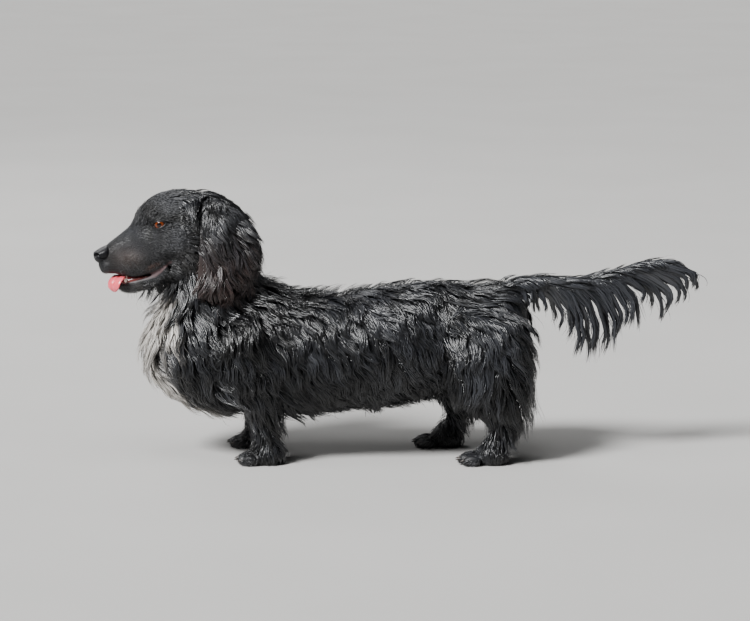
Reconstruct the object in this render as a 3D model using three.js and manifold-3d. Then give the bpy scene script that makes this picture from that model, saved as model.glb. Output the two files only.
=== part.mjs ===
// A long, low, drop-eared dog with a long silky coat, standing still, at life size.
// Millimetres, +Z up. The dog faces -Y, its left side is +X, and its paws stand on Z = 0.
// The origin is on the floor, under the middle of the whole dog. The outlines are those of the coat.
import * as THREE from "three";
import { mergeVertices } from "three/addons/utils/BufferGeometryUtils.js";
import Module from "manifold-3d";

const wasm = await Module();
wasm.setup();

// ---- Driving dimensions ----
const GAP = 0.35; // clearance between neighbouring solids
const HEAD_PIVOT = new THREE.Vector3(0, -260, 300); // under the back of the skull
const HEAD_TURN = THREE.MathUtils.degToRad(7); // the head looks a little to the dog's left
const PAW_TOP = 30; // height at which a leg ends and its paw begins
const FORE_STRIDE = -16; // the right forepaw stands this far ahead of the left one
const HIND_STRIDE = -60; // and the right hind paw this far ahead of the left one
const EYE = { side: 31, y: -70.5, z: 34.8, radius: 10.5 };
const SOCKET = { side: 44, y: -74.5, z: 34, across: 11, along: 13, high: 8.5 };
const TOE = { spread: 11.2, side: 7, along: 15, high: 9.5, z: 8, middleAhead: 6 };
const CLAW = { length: 11, thick: 2.6, drop: 3.5 };
const CANINE = { side: 11.5, y: -119, z: -51, high: 11.5, radius: 2.6 };
const TONGUE = { bendFrom: -110, bendTo: -138, turn: THREE.MathUtils.degToRad(36) };

const COAT = { color: 0x16171a, roughness: 0.55, metalness: 0 };
const COAT_RUST = { color: 0x241a18, roughness: 0.6, metalness: 0 };
const NOSE_LEATHER = { color: 0x0c0d11, roughness: 0.4, metalness: 0 };
const EYE_AMBER = { color: 0x6b2f12, roughness: 0.1, metalness: 0 };
const TONGUE_PINK = { color: 0xd9697a, roughness: 0.35, metalness: 0 };
const CLAW_HORN = { color: 0x1a1613, roughness: 0.45, metalness: 0 };

// A section of a loft: its centre (y, z, and x to the side), and its half sizes sideways, over and under the spine.
function section(y, z, side, over, under, x = 0) {
  return { centre: new THREE.Vector3(x, y, z), sizes: new THREE.Vector3(side, over, under) };
}

// 1 along the middle of a loft, falling to 0 at both ends as a quarter of an ellipse.
function roundedEnd(t, share) {
  const s = Math.min(t, 1 - t) / share;
  return s >= 1 ? 1 : Math.sqrt(Math.max(0, 1 - (1 - s) ** 2));
}

const BACKWARD = new THREE.Vector3(0, 1, 0);
const DOWNWARD = new THREE.Vector3(0, 0, -1);

// A closed skin of oval rings along a smooth spine through the sections. The rings stand square to
// facing, or to the spine where no facing is given. grow swells the form on every side.
function loft(sections, { around = 16, along = 16, end = 0.12, square = 2, grow = 0, facing = null }) {
  const spine = new THREE.CatmullRomCurve3(sections.map((s) => s.centre));
  const sizes = new THREE.CatmullRomCurve3(sections.map((s) => s.sizes));
  const geometry = new THREE.SphereGeometry(1, around, along);
  const place = geometry.getAttribute("position");
  const sideways = new THREE.Vector3(1, 0, 0);
  const columns = around + 1;
  for (let i = 0; i < place.count; i++) {
    const row = Math.floor(i / columns);
    const t = 0.5 - 0.5 * Math.cos((Math.PI * row) / along);
    const blend = THREE.MathUtils.lerp(t, row / along, 0.6);
    const angle = (2 * Math.PI * (i % columns)) / around;
    const centre = spine.getPoint(blend);
    const forward = facing ?? spine.getTangent(blend);
    const over = new THREE.Vector3().crossVectors(sideways, forward).normalize();
    const size = sizes.getPoint(blend);
    const taper = roundedEnd(blend, end);
    const c = Math.cos(angle);
    const s = Math.sin(angle);
    const across = Math.sign(c) * Math.abs(c) ** (2 / square) * (size.x * taper + grow);
    const upwards = Math.sign(s) * Math.abs(s) ** (2 / square);
    const reach = upwards * ((s > 0 ? size.y : size.z) * taper + grow);
    const pole = row === 0 || row === along;
    const point = centre.clone();
    if (pole) point.addScaledVector(forward, row === 0 ? -grow : grow);
    else point.addScaledVector(sideways, across).addScaledVector(over, reach);
    place.setXYZ(i, point.x, point.y, point.z);
  }
  return geometry;
}

// An ellipsoid, which can be turned about X.
function ball(x, y, z, side, along, high, { grow = 0, around = 8, rings = 6, tilt = 0 } = {}) {
  return new THREE.SphereGeometry(1, around, rings)
    .rotateX(Math.PI / 2)
    .scale(side + grow, along + grow, high + grow)
    .rotateX(tilt)
    .translate(x, y, z);
}

function box(x0, x1, y0, y1, z0, z1) {
  return new THREE.BoxGeometry(x1 - x0, y1 - y0, z1 - z0)
    .translate((x0 + x1) / 2, (y0 + y1) / 2, (z0 + z1) / 2);
}

// ---- Solids ----
function toSolid(geometry, matrix) {
  const plain = geometry.clone();
  plain.deleteAttribute("normal");
  plain.deleteAttribute("uv");
  if (matrix) plain.applyMatrix4(matrix);
  const merged = mergeVertices(plain, 1e-3);
  const solid = new wasm.Manifold(
    new wasm.Mesh({
      numProp: 3,
      vertProperties: merged.attributes.position.array,
      triVerts: new Uint32Array(merged.index.array),
    }),
  );
  return solid.volume() < 0 ? turnedOut(merged) : solid;
}

// The same mesh with every face turned round.
function turnedOut(merged) {
  const corners = new Uint32Array(merged.index.array);
  for (let i = 0; i < corners.length; i += 3) {
    [corners[i + 1], corners[i + 2]] = [corners[i + 2], corners[i + 1]];
  }
  return new wasm.Manifold(
    new wasm.Mesh({
      numProp: 3,
      vertProperties: merged.attributes.position.array,
      triVerts: corners,
    }),
  );
}

function joined(geometries, matrix) {
  return geometries.map((g) => toSolid(g, matrix)).reduce((a, b) => a.add(b));
}

function cutBy(solid, tools) {
  return tools.reduce((rest, tool) => rest.subtract(tool), solid);
}

// The largest separate body of a solid.
function mainBody(solid) {
  return solid.decompose().reduce((a, b) => (a.volume() > b.volume() ? a : b));
}

function toGeometry(solid) {
  const mesh = mainBody(solid).getMesh();
  const geometry = new THREE.BufferGeometry();
  geometry.setAttribute("position", new THREE.BufferAttribute(mesh.vertProperties, 3));
  geometry.setIndex(new THREE.BufferAttribute(mesh.triVerts, 1));
  geometry.computeVertexNormals();
  return geometry;
}

function addMesh(group, name, solid, finish) {
  const mesh = new THREE.Mesh(toGeometry(solid), new THREE.MeshStandardMaterial(finish));
  mesh.name = name;
  group.add(mesh);
  return mesh;
}

// ---- Forms of the body. Each takes how much to swell, and returns geometries that belong together. ----

// From the breast bone to the root of the tail: deep chest, long back, slight rise over the loin.
const trunkForm = (grow) => [
  loft(
    [
      section(-359, 153, 20, 16, 18),
      section(-346, 152, 42, 38, 29),
      section(-328, 152, 57, 62, 54),
      section(-303, 151, 67, 79, 77),
      section(-270, 150, 75, 93, 96),
      section(-235, 149, 79, 103, 101),
      section(-190, 148, 81, 106, 100),
      section(-163, 148, 81, 101, 98),
      section(-136, 147, 80, 93, 96),
      section(-94, 146, 79, 90, 94),
      section(-52, 149, 79, 96, 95),
      section(-17, 150, 78, 100, 92),
      section(18, 153, 74, 102, 90),
      section(49, 157, 68, 100, 84),
      section(92, 164, 66, 90, 76),
      section(128, 172, 62, 80, 68),
      section(158, 183, 50, 72, 60),
      section(180, 197, 32, 56, 48),
      section(191, 205, 14, 34, 32),
    ],
    { around: 18, along: 22, end: 0.05, square: 2.1, facing: BACKWARD, grow },
  ),
];

// Down from the skull into the shoulders; "over" is the nape, "under" is the throat.
const neckForm = (grow) => [
  loft(
    [
      section(-258, 340, 38, 28, 26),
      section(-262, 306, 48, 45, 44),
      section(-262, 272, 55, 68, 50),
      section(-258, 240, 61, 80, 62),
      section(-254, 205, 66, 92, 83),
      section(-250, 165, 66, 92, 84),
    ],
    { around: 16, along: 8, end: 0.12, facing: DOWNWARD, grow },
  ),
];

// A feathered tail carried level; "under" reaches the tips of the hanging fringe.
const tailForm = (grow) => [
  loft(
    [
      section(148, 236, 22, 18, 18),
      section(180, 240, 20, 19, 26),
      section(207, 242, 17, 18, 42),
      section(231, 241, 15, 17, 56),
      section(250, 242, 13, 17, 95),
      section(283, 248, 12, 16, 94),
      section(311, 256, 12, 16, 92),
      section(332, 264, 11, 16, 88),
      section(353, 270, 10, 14, 82),
      section(374, 272, 9, 14, 68),
      section(395, 268, 8, 13, 46),
      section(412, 262, 5, 10, 24),
      section(425, 256, 3, 4, 8),
    ],
    { around: 10, along: 20, end: 0.04, facing: BACKWARD, grow },
  ),
];

// The fleshy upper lip on one side, from under the nose to the corner of the mouth.
const upperLip = (s, grow) =>
  loft(
    [
      section(-154, -23, 7, 9, 9, s * 4),
      section(-140, -24.5, 9.5, 12, 12, s * 9),
      section(-126, -26, 9.5, 12, 13.5, s * 13.5),
      section(-104, -26, 9.5, 12, 14.5, s * 18),
      section(-88, -22.5, 9.5, 12, 13.5, s * 22),
      section(-76, -17.5, 9, 12, 14, s * 26.5),
      section(-66, -10, 8, 12, 13, s * 30),
      section(-57, -4, 6, 10, 11, s * 31.5),
    ],
    { around: 8, along: 10, end: 0.12, facing: BACKWARD, grow },
  );

// Skull and upper muzzle, in the head's own frame, whose origin is the head pivot.
const skullForm = (grow) => [
  loft(
    [
      section(-161, -20, 11, 10, 12),
      section(-151, -18, 17, 18, 20),
      section(-140, -17, 20, 26, 23),
      section(-124, -16, 23, 36, 25),
      section(-112, -14, 26, 45, 26),
      section(-103, -10, 30, 58, 29),
      section(-91, -4, 36, 68, 34),
      section(-77, 3, 42, 71, 36),
      section(-60, 8, 47, 71, 34),
      section(-40, 12, 50, 69, 40),
      section(-20, 15, 50, 64, 46),
      section(2, 18, 46, 56, 46),
      section(22, 20, 34, 38, 36),
    ],
    { around: 18, along: 18, end: 0.08, square: 2.15, facing: BACKWARD, grow },
  ),
  ...[-1, 1].flatMap((s) => [
    ball(s * 20, -84, 45, 15, 21, 12, { grow, tilt: 0.5 }), // brow
    ball(s * 33, -54, 6, 17, 34, 19, { grow }), // cheek
    upperLip(s, grow),
  ]),
];

// Lower jaw from the chin to the throat; the mouth is a little open.
const jawForm = (grow) => [
  loft(
    [
      section(-133, -56.5, 9, 4, 5.5),
      section(-122, -56.5, 14, 5.5, 7.5),
      section(-114, -56.5, 16, 6, 8.6),
      section(-104, -55, 19, 6.5, 8.5),
      section(-92, -51.5, 23, 7, 8),
      section(-80, -45, 27, 9, 9),
      section(-64, -38, 33, 13, 17),
      section(-42, -29, 40, 20, 26),
      section(-16, -14, 38, 22, 28),
    ],
    { around: 12, along: 12, end: 0.1, facing: BACKWARD, grow },
  ),
  ...[-1, 1].map((s) =>
    loft(
      [
        section(-133, -55, 6, 6, 6, s * 3),
        section(-122, -53, 6, 6, 7, s * 9),
        section(-104, -50, 6, 7, 8, s * 16),
        section(-92, -46.5, 6, 7, 9, s * 20),
        section(-80, -41, 6, 7.5, 10, s * 25),
        section(-70, -32, 6, 7.5, 12, s * 29),
        section(-61, -23, 6, 7, 13, s * 31.5),
      ],
      { around: 8, along: 9, end: 0.1, facing: BACKWARD, grow },
    ), // lower lip
  ),
];

// Each lower canine, which shows beside the tongue.
const canines = () =>
  [-1, 1].map((s) =>
    new THREE.ConeGeometry(CANINE.radius, CANINE.high, 6)
      .rotateX(Math.PI / 2)
      .translate(s * CANINE.side, CANINE.y, CANINE.z + CANINE.high / 2),
  );

const noseForm = (grow) => [
  loft(
    [
      section(-164.5, -9, 8, 7, 9),
      section(-160, -9, 12, 9.5, 12),
      section(-154, -9.5, 15.5, 11.5, 13),
      section(-146, -10, 17, 12, 13),
      section(-139, -10, 16.5, 12, 12),
    ],
    { around: 12, along: 8, end: 0.22, square: 2.3, facing: BACKWARD, grow },
  ),
];

// Two nostrils, open to the front and the side.
const nostrils = () => [-1, 1].map((s) => ball(s * 10, -161, -11, 3.2, 6, 3, { around: 6, rings: 4 }));

// The tongue lolls out over the left lip: what is ahead of its bend turns about an upright axis.
function lolled(geometry) {
  const place = geometry.getAttribute("position");
  for (let i = 0; i < place.count; i++) {
    const y = place.getY(i);
    const turn = TONGUE.turn * THREE.MathUtils.smoothstep(-y, -TONGUE.bendFrom, -TONGUE.bendTo);
    const ahead = y - TONGUE.bendFrom;
    const x = place.getX(i);
    place.setX(i, x * Math.cos(turn) - ahead * Math.sin(turn));
    place.setY(i, x * Math.sin(turn) + ahead * Math.cos(turn) + TONGUE.bendFrom);
  }
  return geometry;
}

const tongueForm = (grow) => [
  lolled(
    loft(
      [
        section(-68, -41, 12, 2, 2),
        section(-90, -46, 13.5, 2.5, 2.5),
        section(-108, -46, 13, 2.5, 2.5),
        section(-122, -43.5, 12.5, 2.5, 2.5),
        section(-134, -43, 13, 2.5, 2.5),
        section(-141.5, -48, 13.5, 2.5, 2.5),
        section(-143.5, -55, 11.5, 2.3, 2.3),
        section(-142, -61, 7, 1.8, 1.8),
      ],
      { around: 8, along: 12, end: 0.1, grow },
    ),
  ),
];

const eyeForm = (side, grow) => [
  ball(side * EYE.side, EYE.y, EYE.z, EYE.radius, EYE.radius, EYE.radius, { grow, around: 12, rings: 8 }),
];

const socketForm = (side) => [
  ball(side * SOCKET.side, SOCKET.y, SOCKET.z, SOCKET.across, SOCKET.along, SOCKET.high),
];

// A hanging ear, broad with long hair; "over" is its rear edge, "under" its front edge.
const earForm = (side, grow) => [
  loft(
    [
      section(1, 73, 10, 13, 13, side * 35),
      section(6, 62, 15, 26, 26, side * 41),
      section(15, 44, 17, 38, 37, side * 49),
      section(23, 20, 16, 47, 46, side * 57),
      section(20, -10, 14, 46, 46, side * 63),
      section(12, -40, 13, 43, 42, side * 66),
      section(5, -62, 11, 31, 30, side * 67),
      section(-3, -82, 6, 11, 11, side * 66),
    ],
    { around: 12, along: 12, end: 0.08, facing: DOWNWARD, grow },
  ),
];

// Shoulder to wrist; "over" is the rear of the leg, "under" its front.
const FORELEG = [
  section(-210, 214, 22, 34, 34, 54),
  section(-216, 174, 29, 46, 46, 59),
  section(-206, 130, 28, 46, 44, 62),
  section(-190, 92, 24, 38, 36, 61),
  section(-182, 62, 21, 30, 28, 59),
  section(-180, 34, 20, 25, 23, 56),
  section(-182, 12, 19, 22, 22, 55),
];

// Hip to hind paw, with the long hair behind the thigh in "over".
const HINDLEG = [
  section(116, 220, 22, 40, 34, 44),
  section(120, 188, 27, 64, 46, 50),
  section(118, 156, 30, 76, 48, 54),
  section(118, 126, 30, 79, 46, 57),
  section(122, 100, 28, 72, 46, 58),
  section(132, 78, 24, 48, 40, 58),
  section(141, 54, 19, 28, 28, 57),
  section(140, 32, 16, 20, 22, 57),
  section(134, 10, 16, 18, 22, 57),
];

// The same leg on one side, carried forward from its top towards the floor by a stride.
function strideOf(sections, side, stride) {
  const top = sections[0].centre.z;
  return sections.map(({ centre, sizes }) => {
    const share = THREE.MathUtils.smoothstep((top - centre.z) / (top - PAW_TOP), 0, 1);
    return {
      centre: new THREE.Vector3(side * centre.x, centre.y + stride * share, centre.z),
      sizes,
    };
  });
}

const legForm = (sections, side, stride, grow) => [
  loft(strideOf(sections, side, stride), { around: 12, along: 13, end: 0.1, facing: DOWNWARD, grow }),
];

// Where each paw stands, and how large it is.
const PAWS = {
  fore: { x: 55, y: -188, side: 22, along: 28, high: 20, stride: FORE_STRIDE, leg: FORELEG },
  hind: { x: 57, y: 120, side: 20, along: 28, high: 19, stride: HIND_STRIDE, leg: HINDLEG },
};

function toePlaces(paw, side) {
  const ahead = side < 0 ? paw.stride : 0;
  return [-1.5, -0.5, 0.5, 1.5].map((n) => ({
    x: side * (paw.x + n * TOE.spread),
    y: paw.y + ahead - paw.along * 0.55 - (Math.abs(n) < 1 ? TOE.middleAhead : 0),
  }));
}

const pawForm = (paw, side) => {
  const ahead = side < 0 ? paw.stride : 0;
  return [
    ball(side * paw.x, paw.y + ahead, 14, paw.side, paw.along, paw.high, { around: 10, rings: 6 }),
    ...toePlaces(paw, side).map(({ x, y }) =>
      ball(x, y, TOE.z, TOE.side, TOE.along, TOE.high, { around: 6, rings: 5 }),
    ),
  ];
};

// A claw curving down from the front of a toe.
function clawForm({ x, y }, grow) {
  const root = y - TOE.along * 0.55;
  const bend = CLAW.length / 2;
  return loft(
    [
      section(root, TOE.z + 1, CLAW.thick * 0.7, CLAW.thick, CLAW.thick, x),
      section(root - bend, TOE.z + 0.5, CLAW.thick * 0.7, CLAW.thick, CLAW.thick, x),
      section(root - CLAW.length, TOE.z - CLAW.drop, 1, 1.1, 1.1, x),
    ],
    { around: 5, along: 3, end: 0.15, grow },
  );
}

// ---- The dog ----
const dog = new THREE.Group();
const headGroup = new THREE.Group();
headGroup.position.copy(HEAD_PIVOT);
headGroup.rotation.z = HEAD_TURN;
headGroup.updateMatrix();
dog.add(headGroup);
const headPlace = headGroup.matrix;
const bothSides = [
  ["left", 1],
  ["right", -1],
];

function buildHead() {
  const tongueRoom = joined(tongueForm(GAP));
  const head = cutBy(joined(skullForm(0)), [
    ...bothSides.flatMap(([, s]) => [joined(socketForm(s)), joined(eyeForm(s, GAP))]),
    joined(noseForm(GAP)),
    tongueRoom,
  ]);
  const jaw = cutBy(joined([...jawForm(0), ...canines()]), [joined(skullForm(GAP)), tongueRoom]);
  addMesh(headGroup, "head", head, COAT);
  addMesh(headGroup, "jaw", jaw, COAT);
  addMesh(headGroup, "nose", cutBy(joined(noseForm(0)), nostrils().map((g) => toSolid(g))), NOSE_LEATHER);
  addMesh(headGroup, "tongue", joined(tongueForm(0)), TONGUE_PINK);
  for (const [name, s] of bothSides) addMesh(headGroup, "eye_" + name, joined(eyeForm(s, 0)), EYE_AMBER);
}

function buildEars() {
  const bodyInHeadFrame = headPlace.clone().invert();
  const around = [
    joined([...skullForm(GAP), ...jawForm(GAP)]),
    joined([...neckForm(GAP), ...trunkForm(GAP)], bodyInHeadFrame),
    ...bothSides.map(([, s]) => joined(legOf("fore", s, GAP), bodyInHeadFrame)),
  ];
  for (const [name, s] of bothSides) {
    addMesh(headGroup, "ear_" + name, cutBy(joined(earForm(s, 0)), around), COAT_RUST);
  }
}

function legOf(which, side, grow) {
  const paw = PAWS[which];
  return legForm(paw.leg, side, side < 0 ? paw.stride : 0, grow);
}

function buildBody() {
  const legs = ["fore", "hind"].flatMap((which) =>
    bothSides.map(([, s]) => joined(legOf(which, s, GAP))),
  );
  const headRoom = joined([...skullForm(GAP), ...jawForm(GAP)], headPlace);
  addMesh(dog, "trunk", cutBy(joined(trunkForm(0)), legs), COAT);
  addMesh(dog, "neck", cutBy(joined(neckForm(0)), [joined(trunkForm(GAP)), headRoom, ...legs]), COAT);
  addMesh(dog, "tail", cutBy(joined(tailForm(0)), [joined(trunkForm(GAP)), ...legs]), COAT);
}

// Splits a limb into its leg and its paw at PAW_TOP, flattens the sole on the floor and sets the claws.
function buildLimb(which, [name, s]) {
  const paw = PAWS[which];
  const limb = joined([...legOf(which, s, 0), ...pawForm(paw, s)]);
  const below = toSolid(box(-200, 200, -500, 500, -100, PAW_TOP + GAP / 2));
  const above = toSolid(box(-200, 200, -500, 500, PAW_TOP - GAP / 2, 400));
  const floor = toSolid(box(-200, 200, -500, 500, -100, 0));
  const claws = toePlaces(paw, s).map((toe) => clawForm(toe, 0));
  const clawRoom = toePlaces(paw, s).map((toe) => toSolid(clawForm(toe, GAP)));
  addMesh(dog, `${which}leg_${name}`, cutBy(limb, [below]), COAT);
  addMesh(dog, `${which}paw_${name}`, cutBy(limb, [above, floor, ...clawRoom]), COAT);
  claws.forEach((claw, i) => addMesh(dog, `claw_${which}_${name}_${i + 1}`, toSolid(claw), CLAW_HORN));
}

buildHead();
buildEars();
buildBody();
for (const which of ["fore", "hind"]) bothSides.forEach((side) => buildLimb(which, side));

// The origin is under the middle of the whole dog, on the floor.
const extent = new THREE.Box3().setFromObject(dog, true);
const middle = extent.getCenter(new THREE.Vector3());
for (const child of dog.children) child.position.sub(new THREE.Vector3(middle.x, middle.y, extent.min.z));

export default dog;
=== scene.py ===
"""A long-haired black dog, standing: its skin, coat, eyes, nose, mouth and claws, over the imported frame."""

import math

import bmesh
import bpy
import numpy as np
from bpy.props import FloatProperty, FloatVectorProperty, IntProperty, PointerProperty
from bpy.types import Operator, Panel, PropertyGroup
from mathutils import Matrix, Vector, kdtree
from mathutils.bvhtree import BVHTree


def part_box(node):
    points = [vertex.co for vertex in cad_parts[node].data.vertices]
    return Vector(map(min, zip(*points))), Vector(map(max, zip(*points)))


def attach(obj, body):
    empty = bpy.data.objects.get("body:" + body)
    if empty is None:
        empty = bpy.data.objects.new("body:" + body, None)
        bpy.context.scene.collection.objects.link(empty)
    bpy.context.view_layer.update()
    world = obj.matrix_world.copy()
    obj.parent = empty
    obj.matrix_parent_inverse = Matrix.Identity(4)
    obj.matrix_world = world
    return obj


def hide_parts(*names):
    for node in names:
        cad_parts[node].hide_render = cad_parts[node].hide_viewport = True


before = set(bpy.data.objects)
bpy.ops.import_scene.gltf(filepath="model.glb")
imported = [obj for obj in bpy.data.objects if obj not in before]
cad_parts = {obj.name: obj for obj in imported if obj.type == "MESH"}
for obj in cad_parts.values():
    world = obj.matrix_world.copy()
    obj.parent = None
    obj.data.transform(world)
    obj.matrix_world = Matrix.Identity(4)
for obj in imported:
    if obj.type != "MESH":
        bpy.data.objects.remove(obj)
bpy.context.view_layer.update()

bl_info = {
    "name": "Standing long-haired dog",
    "version": (1, 0, 0),
    "blender": (4, 5, 0),
    "location": "3D View > Sidebar > Dog",
    "description": "Builds the skin, coat, face and claws of a standing long-haired dog, and its studio",
    "category": "Add Mesh",
}

MM = 0.001
SIDES = (("left", 1), ("right", -1))
PAWS = [(limb, side) for limb in ("fore", "hind") for side, _ in SIDES]
BODY, HEAD, EAR_LEFT, EAR_RIGHT, TAIL = range(5)  # the parts that the skin is fused from
FLESH = (
    ["head", "jaw", "neck", "trunk", "tail", "ear_left", "ear_right"]
    + [f"{limb}_{side}" for limb in ("foreleg", "hindleg", "forepaw", "hindpaw") for side, _ in SIDES]
)


# ---------------------------------------------------------------- settings
class DogBodySettings(PropertyGroup):
    voxel_body: FloatProperty(
        name="Body grain", description="Voxel size of the body's skin", default=0.004, unit="LENGTH"
    )
    voxel_head: FloatProperty(
        name="Head grain", description="Voxel size of the head's skin", default=0.0014, unit="LENGTH"
    )


def colour_setting(name, description, default):
    return FloatVectorProperty(
        name=name, description=description, default=default, subtype="COLOR", min=0.0, max=1.0
    )


class DogCoatSettings(PropertyGroup):
    fullness: FloatProperty(
        name="Fullness", description="How many strands grow, against the full coat", default=1.0,
        min=0.05, max=1.2, subtype="FACTOR",
    )
    strand_width: FloatProperty(
        name="Strand width", description="Width of the coat's strands, against the made ones", default=1.0,
        min=0.2, max=3.0, subtype="FACTOR",
    )
    black: colour_setting("Black", "Colour of the black hair", (0.0075, 0.008, 0.0095))
    rust: colour_setting("Rust", "Colour of sun-faded tips on the ears and muzzle", (0.085, 0.036, 0.024))
    white: colour_setting("White", "Colour of the blaze on the chest", (0.72, 0.68, 0.63))
    seed: IntProperty(name="Seed", description="Seed of the coat's randomness", default=7)


class DogFaceSettings(PropertyGroup):
    glance: FloatProperty(
        name="Glance", description="How far both eyes look to the dog's left", default=math.radians(29),
        subtype="ANGLE",
    )
    iris: colour_setting("Iris", "Colour of the iris", (0.13, 0.025, 0.005))
    tongue: colour_setting("Tongue", "Colour of the tongue", (0.72, 0.1, 0.13))


class DogStageSettings(PropertyGroup):
    lens: FloatProperty(name="Lens", description="Focal length", default=135.0, subtype="DISTANCE_CAMERA")
    distance: FloatProperty(name="Distance", description="Camera to dog", default=3.94, unit="LENGTH")
    elevation: FloatProperty(
        name="Elevation", description="Camera above the horizon", default=math.radians(10), subtype="ANGLE"
    )


# ---------------------------------------------------------------- numbers and curves
def smooth(low, high, value):
    t = np.clip((np.asarray(value, float) - low) / (high - low), 0.0, 1.0)
    return t * t * (3.0 - 2.0 * t)


def unit(v):
    return v / np.maximum(np.linalg.norm(v, axis=-1, keepdims=True), 1e-9)


def spline(points, u):
    """Points of a uniform Catmull-Rom curve through the rows of points, at u from 0 to 1."""
    points = np.asarray(points, float)
    padded = np.vstack([2 * points[0] - points[1], points, 2 * points[-1] - points[-2]])
    x = np.clip(u, 0, 1) * (len(points) - 1)
    i = np.minimum(x.astype(int), len(points) - 2)
    t = (x - i)[:, None]
    a, b, c, d = (padded[i + k] for k in range(4))
    return 0.5 * (2 * b + (c - a) * t + (2 * a - 5 * b + 4 * c - d) * t**2 + (3 * b - a - 3 * c + d) * t**3)


def ripple(points, size, seed):
    """Smooth noise of about -1 to 1 with features of about size, made of a few plane waves."""
    rng = np.random.default_rng(seed)
    total = np.zeros(len(points))
    for octave in range(7):
        wave = unit(rng.normal(size=3)) * (2 * np.pi / (size * (0.7 + 0.25 * octave)))
        total += np.sin(points @ wave + rng.uniform(0, 2 * np.pi)) * (1.0 - 0.09 * octave)
    return total / 2.6


HEAD_TURN = math.radians(7.0)
HEAD_PIVOT = np.array([0.0, -260.9, 300.0])
HEAD_AXES = np.array([
    [math.cos(HEAD_TURN), math.sin(HEAD_TURN), 0],
    [-math.sin(HEAD_TURN), math.cos(HEAD_TURN), 0],
    [0, 0, 1],
])


def head_to_dog(p):
    """Points of the head's frame, whose origin is its pivot, in the dog's frame. In mm."""
    return p @ HEAD_AXES + HEAD_PIVOT


def dog_to_head(p):
    return (p - HEAD_PIVOT) @ HEAD_AXES.T


def turned(directions):
    """Directions of the head's frame, in the dog's."""
    return head_to_dog(directions) - HEAD_PIVOT


def box_mm(name):
    """Lowest and highest corner of a node of the frame, in mm."""
    return [np.array(corner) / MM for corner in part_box(name)]


# ---------------------------------------------------------------- meshes
def to_mesh(name, bm):
    """Turns a bmesh into a mesh whose faces come in the same order on every run."""
    bm.verts.index_update()
    count = len(bm.verts)
    bm.faces.sort(key=lambda face: face.verts[0].index * count + face.verts[1].index)
    mesh = bpy.data.meshes.new(name)
    bm.to_mesh(mesh)
    bm.free()
    return mesh


def add_object(name, data):
    made = bpy.data.objects.new(name, data)
    bpy.context.scene.collection.objects.link(made)
    return made


def smooth_shade(mesh):
    mesh.polygons.foreach_set("use_smooth", np.ones(len(mesh.polygons), bool))


def settle(piece, material, replaces=()):
    """Gives a piece at the origin its material, says what it rides on, and hides the nodes of the frame that
    it stands for.
    """
    piece.data.materials.clear()
    piece.data.materials.append(material)
    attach(piece, "root")
    if replaces:
        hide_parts(*replaces)
    return piece


def finish_piece(name, bm, material, replaces=()):
    piece = add_object(name, to_mesh(name, bm))
    smooth_shade(piece.data)
    return settle(piece, material, replaces)


def read(items, key, width=1, kind=np.float32):
    """One property of all of a mesh's items, as an array."""
    values = np.empty(len(items) * width, kind)
    items.foreach_get(key, values)
    return values if width == 1 else values.reshape(-1, width)


def coordinates(mesh):
    return read(mesh.vertices, "co", 3).astype(float)


def set_coordinates(mesh, co):
    mesh.vertices.foreach_set("co", np.ascontiguousarray(co, np.float32).ravel())
    mesh.update()


def write_attribute(mesh, name, values):
    kind, key = ("FLOAT_COLOR", "color") if values.ndim == 2 else ("FLOAT", "value")
    layer = mesh.attributes.new(name, kind, "POINT")
    layer.data.foreach_set(key, np.ascontiguousarray(values, np.float32).ravel())


def ball(bm, around, along):
    """Adds a unit sphere. Gives its vertices and their places."""
    made = bmesh.ops.create_uvsphere(bm, u_segments=around, v_segments=along, radius=1.0)["verts"]
    return made, np.array([v.co for v in made])


def move(verts, co):
    """Moves vertices to co, in mm."""
    for v, p in zip(verts, co * MM):
        v.co = p


def loft(bm, sections, facing="back", around=48, along=48, end=0.1, square=2.0, place=None):
    """A closed skin of oval rings through sections, from a sphere. Each section is
    (y, z, x, half width, over, under) in mm. facing is back, down, or None to follow the spine.
    end is the share of the length that each rounded end takes, and square how boxy the rings are."""
    made, sphere = ball(bm, around, along)
    theta = np.arccos(np.clip(sphere[:, 2], -1, 1))
    angle = np.arctan2(sphere[:, 1], sphere[:, 0])
    u = 0.4 * (0.5 - 0.5 * np.cos(theta)) + 0.6 * theta / np.pi
    table = np.asarray(sections, float)
    spine = spline(table[:, [2, 0, 1]], u)
    sizes = spline(table[:, 3:6], u)
    if facing == "back":
        ahead = np.tile([0.0, 1.0, 0.0], (len(u), 1))
    elif facing == "down":
        ahead = np.tile([0.0, 0.0, -1.0], (len(u), 1))
    else:
        ahead = unit(spline(table[:, [2, 0, 1]], u + 0.01) - spline(table[:, [2, 0, 1]], u - 0.01))
    side = np.tile([1.0, 0.0, 0.0], (len(u), 1))
    over = unit(np.cross(side, ahead))
    s = np.minimum(u, 1 - u) / end
    taper = np.where(s >= 1, 1.0, np.sqrt(np.maximum(0, 1 - (1 - np.minimum(s, 1)) ** 2)))
    c, n = np.cos(angle), np.sin(angle)
    c = np.sign(c) * np.abs(c) ** (2 / square)
    n = np.sign(n) * np.abs(n) ** (2 / square)
    reach = np.where(n > 0, sizes[:, 1], sizes[:, 2])
    co = spine + side * (c * sizes[:, 0] * taper)[:, None] + over * (n * reach * taper)[:, None]
    move(made, place(co) if place else co)
    return made


def blob(bm, centre, radii, place=None, tilt=0.0):
    """An ellipsoid, centre (x, y, z) and radii in mm, turned about X by tilt."""
    made = bmesh.ops.create_icosphere(bm, subdivisions=3, radius=1.0)["verts"]
    co = np.array([v.co for v in made]) * radii
    c, s = math.cos(tilt), math.sin(tilt)
    co = co @ np.array([[1, 0, 0], [0, c, s], [0, -s, c]]) + centre
    move(made, place(co) if place else co)


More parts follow.
